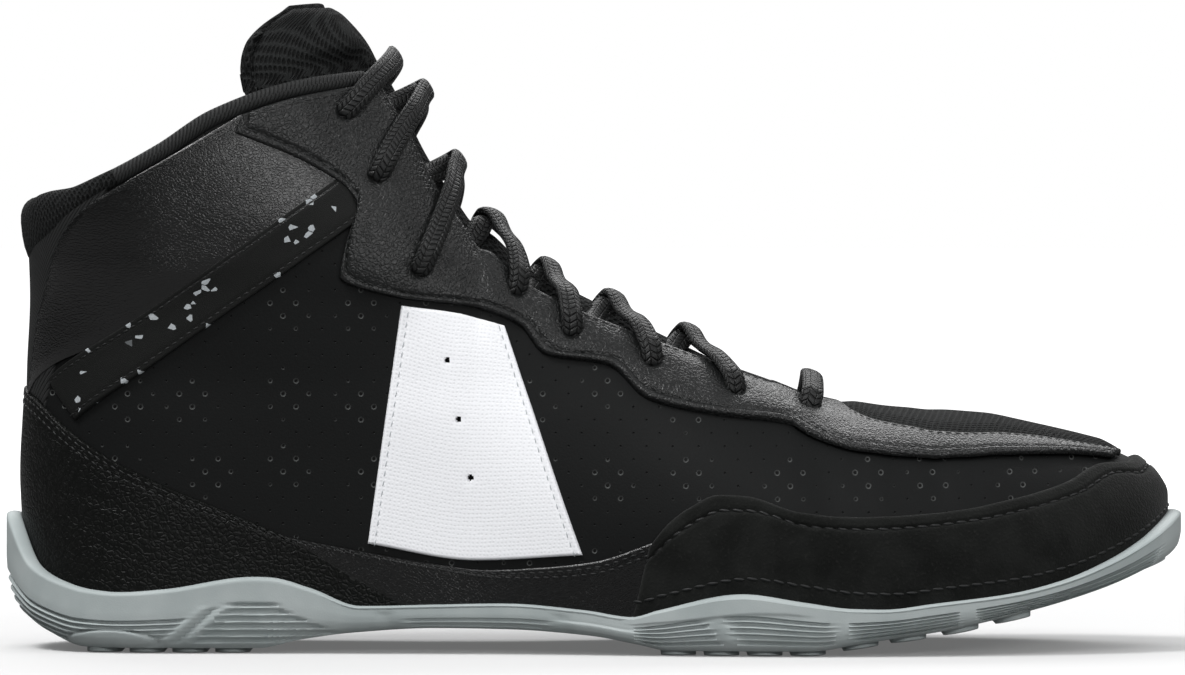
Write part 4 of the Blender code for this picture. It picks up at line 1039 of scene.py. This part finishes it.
# a webbing strip round the heel from the counter up to the roll, under the shaft panels' borders
def makeHeelStrip():
    def top(side, part):
        line = sidePoints(((0.093, 0.800), (0.064, 0.766), (0.040, 0.738), (0.026, 0.708)), side)
        return through(np.vstack((line, heelPoint(0.690))), part)

    def foot(side, part):
        back = heelPoint(0.44)[0] / shoe["length"]
        x = (back + (0.036 - back) * np.cos(part * math.pi / 2)) * shoe["length"]
        line = atSide(x, heightOf(0.415 + 0.03 * part), side)
        line[:, 1] = np.where(part >= 0.999, centreLine(x), line[:, 1])
        return line

    panel("heelStrip", bothSides(foot, top), webbing,
          {"columns": 60, "rows": 54, "thick": 0.45}, "synthetic")


# dark diagonal bands from the heel to the eyestay, sewn along both edges
def makeStraps():
    for side, word, node in sides:
        made = panel("strap" + word, between(strapFoot, strapTop, side), speckled, {
            "columns": 90, "rows": 22, "thick": 0.8, "under": 0.3, "seams": (1.5,), "groove": 0.15},
            "synthetic", "strap" + node)
        for edge in ("foot", "top"):
            sew(made, edge, 1.5, (2.1, 1.5, 0.17))


# leather round the heel, from inside the cup up to a swept seam with two rows
def makeCounter():
    def top(side, part):
        return through(np.vstack((sidePoints(counterTop, side), heelPoint(0.455))), part)

    def foot(side, part):
        return cupGuide(0.350, 0.0169, side, part)

    made = panel("heelCounter", bothSides(foot, top), counterLeather, {
        "columns": 300, "rows": 46, "thick": 1.1, "seams": (1.6, 3.4), "groove": 0.2,
        "seamEdges": ("top",)}, "leather", "heel_counter")
    for inset in (1.6, 3.4):
        sew(made, "top", inset, (2.3, 1.6, 0.24))


# narrow leather between the cup and the microfibre at the arch
def makeArchPanels():
    for side, word, node in sides:
        def guides(s, side=side):
            return cupGuide(0.345, 0.545, side, s), through(sidePoints(archTop, side), s)
        made = panel("archPanel" + word, guides, smoothLeather, {
            "columns": 110, "rows": 24, "thick": 1.0, "seams": (1.6,), "groove": 0.2,
            "seamEdges": ("top",)}, "leather", "arch_panel" + node)
        for inset in (1.6, 3.0):
            sew(made, "top", inset, (2.3, 1.6, 0.24))


# suede bumper round the toe, with a deep sewn groove under its top edge
def makeRand():
    x = 0.957 * shoe["length"]
    overToe = fromAbove(x, centreLine(x))

    def top(side, part):
        shoulder = fromAbove(0.951 * shoe["length"], centreLine(x) + side * 0.10 * shoe["ballWidth"])
        return through(np.vstack((sidePoints(randTop, side), shoulder, overToe)), part)

    def foot(side, part):
        return cupGuide(0.530, 0.9832, side, part)

    made = panel("toeRand", bothSides(foot, top), suede, {
        "columns": 380, "rows": 50, "thick": 1.5, "round": 1.6, "seams": (4.2,), "groove": 0.75,
        "seamEdges": ("top",), "under": 0.1}, "suede", "toe_rand")
    sew(made, "top", 4.2, (3.2, 2.9, 0.42))
    # the lower row follows the sole's rim a little above it
    front = made[0]
    above = front[..., 2] - soleHeights(front[..., 0])[0]
    stitchRow(rowAt(front, above, 3.6 * mm), (3.2, 2.8, 0.34))


# generic white panel at the midfoot with three small punched holes
def makeSaddles():
    for side, word, node in sides:
        holes, radius = sidePoints([(0.376, 0.50), (0.386, 0.40), (0.396, 0.30)], side), 0.62 * mm

        def reachOf(points, holes=holes):
            return np.linalg.norm(points[..., None, :] - holes, axis=-1).min(axis=-1)

        def punched(points):
            return (reachOf(points) < radius).astype(int)

        def sunk(points):
            reach = reachOf(points)
            return -0.8 * mm * (reach < radius) - 0.15 * mm * np.exp(-(reach / (1.2 * mm)) ** 2)

        made = panel("saddle" + word, between(saddleFoot, saddleTop, side), [white, holeDark], {
            "columns": 120, "rows": 150, "thick": 0.9, "under": 0.2, "seams": (1.8,), "groove": 0.12,
            "seamEdges": ("start", "end"), "extra": sunk, "slots": punched},
            "white_synthetic", "saddle" + node)
        for edge in ("start", "end"):
            sew(made, edge, 1.8, (2.4, 1.6, 0.15), "pale")


# leather beside the throat; its top edge is the throat's, then the collar's
def makeEyestays():
    for side, word, node in sides:
        def guides(s, side=side):
            foot, level, top = through(eyestayTable, s, even=False).T
            x = top * shoe["length"]
            edge = np.where((top > cornerAlong)[:, None], throatEdge(x, side, 0.0),
                            collarEdge(x, side, 0.4 * mm))
            return atSide(foot * shoe["length"], heightOf(level), side), edge
        made = panel("eyestay" + word, guides, stayLeather, {
            "columns": 290, "rows": 40, "thick": 1.3, "under": 0.4, "seams": (2.2,), "groove": 0.45,
            "seamEdges": ("foot", "start"), "extra": holeDents, "puff": 0.35},
            "leather", "eyestay" + node)
        sew(made, "foot", 2.2, (2.3, 1.6, 0.25))
        sew(made, "top", 1.5, (2.3, 1.7, 0.17), cut=(0.02, 0.98))


# a leather strip from the throat to the toe on each side, and the mesh between
def makeVamp():
    borders = []
    for side, word, _ in sides:
        throat = throatEdge(np.array((0.650, 0.680, 0.705)) * shoe["length"], side, 0.2 * mm)
        upper = np.vstack((throat, sidePoints(vampUpper, side)))
        borders.append(sidePoints(((0.700, 0.410),) + vampUpper, side))

        def guides(s, side=side, upper=upper):
            return through(sidePoints(vampSeam, side), s), through(upper, s)
        made = panel("vampStrip" + word, guides, stayLeather, {
            "columns": 150, "rows": 22, "thick": 0.9, "under": 1.0, "seams": (1.1, 2.9), "groove": 0.2,
            "seamEdges": ("foot",), "extra": lambda points: holeDents(points) * 1.2}, "leather")
        for inset in (1.1, 2.9):
            sew(made, "foot", inset, (2.2, 1.7, 0.18))
        sew(made, "top", 1.3, (2.2, 1.6, 0.16), cut=(0.25, 1.0))

    panel("vampMesh", lambda s: tuple(through(border, s) for border in borders), vampMesh, {
        "columns": 90, "rows": 60, "thick": 0.8, "under": 0.2, "round": 1.5, "puff": 0.9}, "mesh")


# The tongue has rows from its front end up, each wrapped round the shin; a rim pads its outline.
# Columns: along; height, set back and drop of the sides (shares of the tongue, length, tongue);
# half width (share of the ankle width); hug, 1 on the foot and 0 free of it
tongueTable = (
    (0.755, 0.0, 0.000, 0.01, 0.14, 1.0), (0.690, 0.0, 0.000, 0.03, 0.20, 1.0),
    (0.620, 0.0, 0.000, 0.04, 0.25, 1.0), (0.550, 0.0, 0.000, 0.05, 0.29, 1.0),
    (0.480, 0.0, 0.010, 0.07, 0.32, 1.0), (0.430, 0.0, 0.020, 0.08, 0.33, 1.0),
    (0.395, 0.0, 0.040, 0.07, 0.34, 1.0), (0.360, 0.76, 0.075, 0.05, 0.35, 1.0),
    (0.336, 0.84, 0.100, 0.03, 0.35, 1.0), (0.319, 0.885, 0.110, 0.05, 0.345, 0.5),
    (0.307, 0.930, 0.105, 0.04, 0.335, 0.0), (0.293, 0.962, 0.088, 0.03, 0.30, 0.0),
    (0.277, 0.988, 0.055, 0.02, 0.23, 0.0), (0.263, 1.000, 0.020, 0.005, 0.12, 0.0),
)
tongueLook = {"rows": 150, "columns": 90, "gap": 1.6, "thick": 4.5, "padding": 3.5, "seam": 3.0,
              "sideGap": 5.2, "wrap": 72, "skin": 1.2, "edgeRound": 2.2}


def makeTongue():
    look = tongueLook
    share = np.linspace(0, 1, look["rows"])
    share = np.concatenate((share[:-1], 1 - np.array((0.004, 0.002, 0.0008, 0.0))))
    table = through(tongueTable, share, even=False)
    along, high, back, drop, half, hug = (column[:, None] for column in table.T)
    turn = np.sin(np.linspace(-math.pi / 2, math.pi / 2, look["columns"]))[None, :]
    swing = math.radians(look["wrap"])
    sideways = np.sin(turn * swing) / math.sin(swing)
    backward = (1 - np.cos(turn * swing)) / (1 - math.cos(swing))
    centreX = along * shoe["length"]
    height = ridgeHeight(centreX) * hug + high * shoe["tongue"] * (1 - hug)
    x = centreX - back * shoe["length"] * backward
    y = centreLine(centreX) + half * shoe["ankleWidth"] * sideways
    free = np.stack((x, y, height - drop * shoe["tongue"] * backward), axis=-1)
    under = shoe["wall"] + look["gap"] * mm
    throat = smooth(throatTable, along)[..., 0] * shoe["ballWidth"] - look["sideGap"] * mm
    rise = np.clip(1 - (np.abs(y - centreLine(centreX)) / throat) ** 2, 0, 1)
    openFront = np.clip((throatEnd - along) / 0.03 - 1.5, 0, 1)
    held = settle(free, -under + (under - 0.6 * mm) * rise * openFront)
    face = held * hug[..., None] + free * (1 - hug[..., None])
    rollReach = under + rollTable[-1][1] * shoe["ankleWidth"] / 2
    edgeHeight = heightOf(columnsAt(collarTable, face[..., 0])[0]) + look["sideGap"] * mm
    below = (face[..., 2] < edgeHeight) & (np.abs(y - centreLine(centreX)) > throat)
    depth = np.where(hug < 0.99, rollReach, under)
    outside = form(face + outward(face) * depth[..., None]) > 1
    face = np.where((below & outside)[..., None], settle(face, -depth), face)
    # soften the step between covered and free parts, and the side edges
    for _ in range(30):
        for column in (0, -1):
            face[1:-1, column] = face[1:-1, column] / 2 + (face[2:, column] + face[:-2, column]) / 4
    for _ in range(6):
        face[1:-1, 1:-1] = (face[1:-1, 1:-1] * 4 + face[2:, 1:-1] + face[:-2, 1:-1]
                            + face[1:-1, 2:] + face[1:-1, :-2]) / 8
    facing = unit(np.cross(np.gradient(face, axis=1), np.gradient(face, axis=0)))
    facing *= np.sign((facing * outward(face)).sum())
    lengths = gridLengths(face)
    edgeAway = np.minimum.reduce([lengths[..., 0], lengths[:, -1:, 0] - lengths[..., 0],
                                  lengths[-1:, :, 1] - lengths[..., 1]])
    # padded rim: a round outer roll, a sewn channel, then a soft field inside it
    top = np.clip((0.345 - along) / 0.02, 0, 1)
    roundOff = quarterRound(edgeAway / look["edgeRound"])
    seam = bell(edgeAway, look["seam"], 0.55)
    field = smoothStep(look["seam"], look["seam"] + 5, edgeAway)
    lift = (roundOff - 1) * look["skin"] - seam * 0.8 * top + field * 0.5 * top
    outer = face + facing * (lift * mm)[..., None]
    thick = look["thick"] + look["padding"] * np.clip((0.34 - along) / 0.03, 0, 1)
    edge = np.sqrt(np.clip(1 - np.abs(turn) ** 4, 0.0, 1))
    endRound = quarterRound((lengths[-1:, :, 1] - lengths[..., 1]) / 4)
    inner = face - facing * (look["skin"] + thick * (0.10 + 0.90 * edge) * (0.2 + 0.8 * endRound)
                             - seam * 0.6 * top)[..., None] * mm
    for column in (0, -1):
        inner[:, column] = outer[:, column] - facing[:, column] * 0.4 * mm
    skin = Skin()
    skin.add(outer)
    skin.add(inner[::-1])
    for first, second in ((outer[0], inner[0]), (outer[-1], inner[-1]),
                          (outer[:, 0], inner[:, 0]), (outer[:, -1], inner[:, -1])):
        skin.add(np.stack((first, second)))
    piece = skin.finish("paddedTongue", [tongueMesh])
    dress(piece, "mesh", "tongue")
    near = np.swapaxes(outer, 0, 1)
    far = (lengths[:, -1:, 0] - lengths[..., 0]).T[::-1]
    for edge, gone in ((near, lengths[..., 0].T), (near[::-1], far)):
        sewn = rowAt(edge, gone, look["seam"])[int(look["rows"] * 0.66):-8]
        stitchRow(sewn, (2.0, 1.4, 0.2))


# the collar's roll: a rounded box swept along the top edge, thin ahead as a binding
def makeRoll():
    count, rings = 150, 26
    full = [topLine(2000, side) for side in (-1, 1)]
    last = int(cornerTurn * 1999)
    paths = [through(line[:last + 1], np.linspace(0, 1, count)) for line in full]
    path = np.concatenate((paths[0][::-1], paths[1][1:]))
    share = np.abs(np.linspace(-1, 1, len(path)))
    tangent = unit(np.gradient(path, axis=0))
    sideWay = outward(path)
    sideWay = unit(sideWay - tangent * (sideWay * tangent).sum(axis=-1, keepdims=True))
    up = np.cross(sideWay, tangent)
    up *= np.sign(up[:, 2:])
    width, bulge = np.moveaxis(smooth(rollTable, share), -1, 0) * shoe["ankleWidth"]
    height = columnsAt(collarTable, path[:, 0])[1] * shoe["collar"]
    end = np.sqrt(np.clip(1 - np.clip((share - 0.985) / 0.016, 0, 1) ** 2, 0.0, 1))
    middle = path + up * (height / 2 + 0.4 * mm)[:, None] + sideWay * (bulge - width / 2)[:, None]
    turn = np.linspace(0, 2 * math.pi, rings, endpoint=False)[:, None]
    # the roll bulges softly, with a slight sag between its pad's cells
    soft = 1 + 0.03 * np.sin(share * 40) * (share < 0.4)
    hang = 6.0 * mm * smoothStep(0.085, 0.015, path[:, 0] / shoe["length"])
    across = rounded(np.cos(turn), 0.85) * width * end * soft / 2
    over = rounded(np.sin(turn), 0.85) * (height + 0.8 * mm) * end * soft / 2
    # at the heel the pad's outer half hangs lower, over the shell
    over = over - hang * np.clip(-np.sin(turn), 0, 1) * np.clip(0.35 + np.cos(turn), 0, 1)
    grid = middle + across[..., None] * sideWay + over[..., None] * up
    skin = Skin()
    slots = np.broadcast_to((share[:-1] > 0.40).astype(int), (rings, len(path) - 1))
    skin.add(np.concatenate((grid, grid[:1])), slot=slots)
    piece = skin.finish("collarRoll", [rollMesh, binding])
    dress(piece, "mesh", "collar_roll")


laceLook = {"width": 5.6, "thick": 2.6, "rise": 1.9, "hump": 2.2, "tuck": 0.64,
            # how far each crossing stands over the throat's face, from the collar down
            "middles": (5.0, 4.2, 1.8, 1.0, 1.2, 2.0), "barArch": 1.2, "toeArch": 2.0,
            "samples": 1500, "easing": 5,
            # heights at a hole: two points under it and the first one outside; depth at a far edge
            "inHole": (-4.5, -1.8), "mouth": 1.0, "farDepth": 3.2, "humpReach": 5.2}


# The whole lace as control points with a height over the face and a flat direction. It starts
# behind the top lateral hole, runs down in a zigzag, crosses in the toe bar and runs back up.
# Each strand leaves a hole, crosses the throat in an arch and passes under the far edge.
def makeLace():
    look = laceLook
    holes = {side: sidePoints([row[:2] for row in holeTable], side) for side in (-1, 1)}
    x = np.array([row[2] for row in holeTable]) * shoe["length"]
    crest = fromAbove(x, centreLine(x))
    top = look["rise"] + look["thick"] / 2
    share = np.linspace(0, 1, 15)
    runs = []

    # directions across the flat side, with the second point's for the points at the hole
    def flatsOf(line):
        flat = unit(np.cross(np.gradient(line, axis=0), outward(line)))
        return np.concatenate((flat[[1, 1, 1]], flat[1:]))

    # two more points under the hole bend the strand down into it
    def intoHole(line, height):
        height = np.concatenate((look["inHole"], height))
        height[2] = min(height[2], look["mouth"])
        return np.concatenate((line[[0, 0]], line)), height

    def crossing(row, side, backwards):
        stop = crest[row - 1] * 0.75 + crest[row] * 0.25
        stop = stop + (holes[-side][row - 1] - crest[row - 1]) * look["tuck"]
        middle = (crest[row] + crest[row - 1]) / 2
        line = settle(through((holes[side][row], middle, stop), share))
        reach = np.linalg.norm(line - middle, axis=-1) / (look["humpReach"] * mm)
        middleHeight = look["middles"][row - 1]
        height = top + (middleHeight - top) * smoothStep(0.22, 0.42, share)
        height = height + (look["hump"] if side < 0 else 0.0) * np.exp(-reach ** 2)
        height = height - (middleHeight + look["farDepth"]) * smoothStep(0.60, 0.86, share)
        flat = flatsOf(line)
        line, height = intoHole(line, height)
        step = -1 if backwards else 1
        runs.append((line[::step], height[::step], flat[::step]))

    def bar(row, side, arch):
        line = settle(through((holes[side][row], crest[row], holes[-side][row]), share))
        height = top + arch * np.sin(share * math.pi) ** 1.3
        flat = flatsOf(line)
        line, height = intoHole(line, height)
        line, height = intoHole(line[::-1], height[::-1])
        runs.append((line[::-1], height[::-1], np.concatenate((flat, flat[[-1, -1]]))))

    bar(0, -1, look["barArch"])
    side = -1
    for row in range(1, 7):
        crossing(row, side, True)
        side = -side
    bar(7, 1, look["toeArch"])
    for row in range(6, 0, -1):
        crossing(row, side, False)
        side = -side
    points, heights, flats = (np.concatenate(parts) for parts in zip(*runs))
    for index in range(1, len(flats)):
        if np.dot(flats[index], flats[index - 1]) < 0:
            flats[index] = -flats[index]
    points = points + outward(points) * (heights * mm)[:, None]
    keep = np.append(True, np.linalg.norm(np.diff(points, axis=0), axis=1) > 0.2 * mm)
    both = np.column_stack((points, flats))[keep]
    place = runOf(both[:, :3])
    both = smooth(np.column_stack((place, both)), np.linspace(0, place[-1], look["samples"]))
    for _ in range(look["easing"]):
        both[1:-1] = both[1:-1] / 2 + (both[2:] + both[:-2]) / 4
    path, flat = both[:, :3], both[:, 3:]
    tangent = unit(np.gradient(path, axis=0))
    flat = unit(flat - tangent * (flat * tangent).sum(axis=-1, keepdims=True))
    up = np.cross(flat, tangent)
    turn = np.linspace(0, 2 * math.pi, 15)[:, None]
    across = rounded(np.cos(turn), 0.9) * look["width"] / 2 * mm
    over = rounded(np.sin(turn), 0.9) * look["thick"] / 2 * mm
    grid = path + across[..., None] * flat + over[..., None] * up
    run = runOf(path) / mm
    uv = np.stack(np.broadcast_arrays(run[None, :], turn / (2 * math.pi) * 12.6), axis=-1)
    skin = Skin()
    skin.add(grid, uv=uv)
    for end in (0, -1):
        skin.add(np.stack((grid[:, end], np.broadcast_to(path[end], (15, 3)))))
    piece = skin.finish("braidedLace", [braid], sharp=80)
    print("lace length mm", round(run[-1]))
    dress(piece, "lace", "lace_top_bar", "lace_toe_bar", *["lace_cross_%d" % row for row in range(1, 7)])


makeShaftPanels()
makeHeelStrip()
makeStraps()
makeCounter()
makeArchPanels()
makeRand()
makeSaddles()
makeEyestays()
makeVamp()
makeTongue()
makeRoll()
makeLace()
dress(makeStitches("blackStitching", stitches["black"], blackThread), "lace")
dress(makeStitches("paleStitching", stitches["pale"], paleThread), "white_synthetic")

stage = {
    "floorHalf": 14.0, "distance": 2.05, "aimX": -0.0005, "aimZ": 0.0752, "frameWidth": 0.2882,
    "elevation": 1.0,
    # the floor's glow: from where to where in metres it grows, and how much; and as a lamp
    "glowReach": (0.16, 1.2), "glow": (0.08, 1.0), "glowSeen": 0.9, "glowLamp": 0.06,
}


# White paper that stays white far from the lamps: its glow grows away from the shoe for the
# camera alone, and is faint as a lamp. What the camera sees of the paper is lighter than what
# reflects in the shoe.
def makeStage():
    half = stage["floorHalf"]
    mesh = bpy.data.meshes.new("paleFloor")
    mesh.from_pydata([(-half, -half, 0), (half, -half, 0), (half, half, 0), (-half, half, 0)], [],
                     [(0, 1, 2, 3)])
    floor = bpy.data.objects.new("paleFloor", mesh)
    bpy.context.scene.collection.objects.link(floor)
    finish, nodes = newFinish("white studio paper", "#bcbcbc", 1.0, 0.0)
    nodes.give(nodes.target["Emission Color"], (1.0, 1.0, 1.0, 1.0))
    place = nodes.add("TexCoord", output="Object")
    reach = nodes.add("VectorMath", {"operation": "LENGTH"}, "Value", i0=place)
    glow = nodes.ramp(reach, *stage["glowReach"], *stage["glow"])
    seen = nodes.add("LightPath", output="Is Camera Ray")
    strength = nodes.calc("MULTIPLY_ADD", nodes.calc("MULTIPLY", glow, seen), stage["glowSeen"],
                          stage["glowLamp"])
    nodes.give(nodes.target["Emission Strength"], strength)
    nodes.paint(nodes.mix(seen, "#7c7c7c", "#bcbcbc"))
    mesh.materials.append(finish)


# a white backdrop to look at, and a dim room for the reflections, lighter overhead
def makeSky():
    dim, overhead, backdrop = (0.03, 0.03, 0.03, 1.0), (0.70, 0.70, 0.71, 1.0), (1.0, 1.0, 1.0, 1.0)
    world = bpy.data.worlds.new("studio")
    bpy.context.scene.world = world
    nodes = Nodes(world, "Background")
    height = nodes.add("SeparateXYZ", None, 2, Vector=nodes.add("TexCoord", output="Generated"))
    room = nodes.mix(nodes.ramp(height, 0.15, 1.0), dim, overhead)
    seen = nodes.add("LightPath", output="Is Camera Ray")
    nodes.give(nodes.target["Color"], nodes.mix(seen, room, backdrop))
    nodes.give(nodes.target["Strength"], 1.0)


def addLight(name, place, aim, size, power):
    light = bpy.data.lights.new(name, "AREA")
    light.shape = "RECTANGLE"
    light.size, light.size_y = size
    light.energy = power
    lamp = bpy.data.objects.new(name, light)
    lamp.location = place
    lamp.rotation_euler = (Vector(aim) - Vector(place)).to_track_quat("-Z", "Y").to_euler()
    bpy.context.scene.collection.objects.link(lamp)


# a long lens at the photograph's viewing angle, from the lateral side
def makeCamera():
    camera = bpy.data.cameras.new("sideView")
    camera.sensor_width = 36
    camera.lens = 36 * stage["distance"] / stage["frameWidth"]
    camera.clip_end = 100
    eye = bpy.data.objects.new("sideView", camera)
    tilt = math.radians(stage["elevation"])
    eye.location = (stage["aimX"], -stage["distance"] * math.cos(tilt),
                    stage["aimZ"] + stage["distance"] * math.sin(tilt))
    eye.rotation_euler = (math.pi / 2 - tilt, 0, 0)
    bpy.context.scene.collection.objects.link(eye)
    bpy.context.scene.camera = eye


makeStage()
makeSky()
# lamps: name, place, what it aims at, width and height, power
for lamp in (("keyAbove", (-0.75, -0.45, 1.35), (-0.04, 0, 0.09), (0.55, 0.45), 20.0),
             ("frontFill", (-0.10, -1.28, 1.27), (0.0, 0, 0.06), (1.3, 0.35), 8.0),
             ("collarStrip", (0.42, -1.15, 0.38), (-0.06, 0, 0.12), (0.85, 0.17), 5.5),
             ("toeEdge", (1.1, -0.2, 0.9), (0.05, 0, 0.05), (0.6, 0.6), 3.5),
             ("backAbove", (0.0, 1.15, 1.05), (0.0, 0, 0.06), (1.6, 0.6), 15.0)):
    addLight(*lamp)
makeCamera()
bpy.context.scene.view_settings.view_transform = "Standard"
print("stage ready")
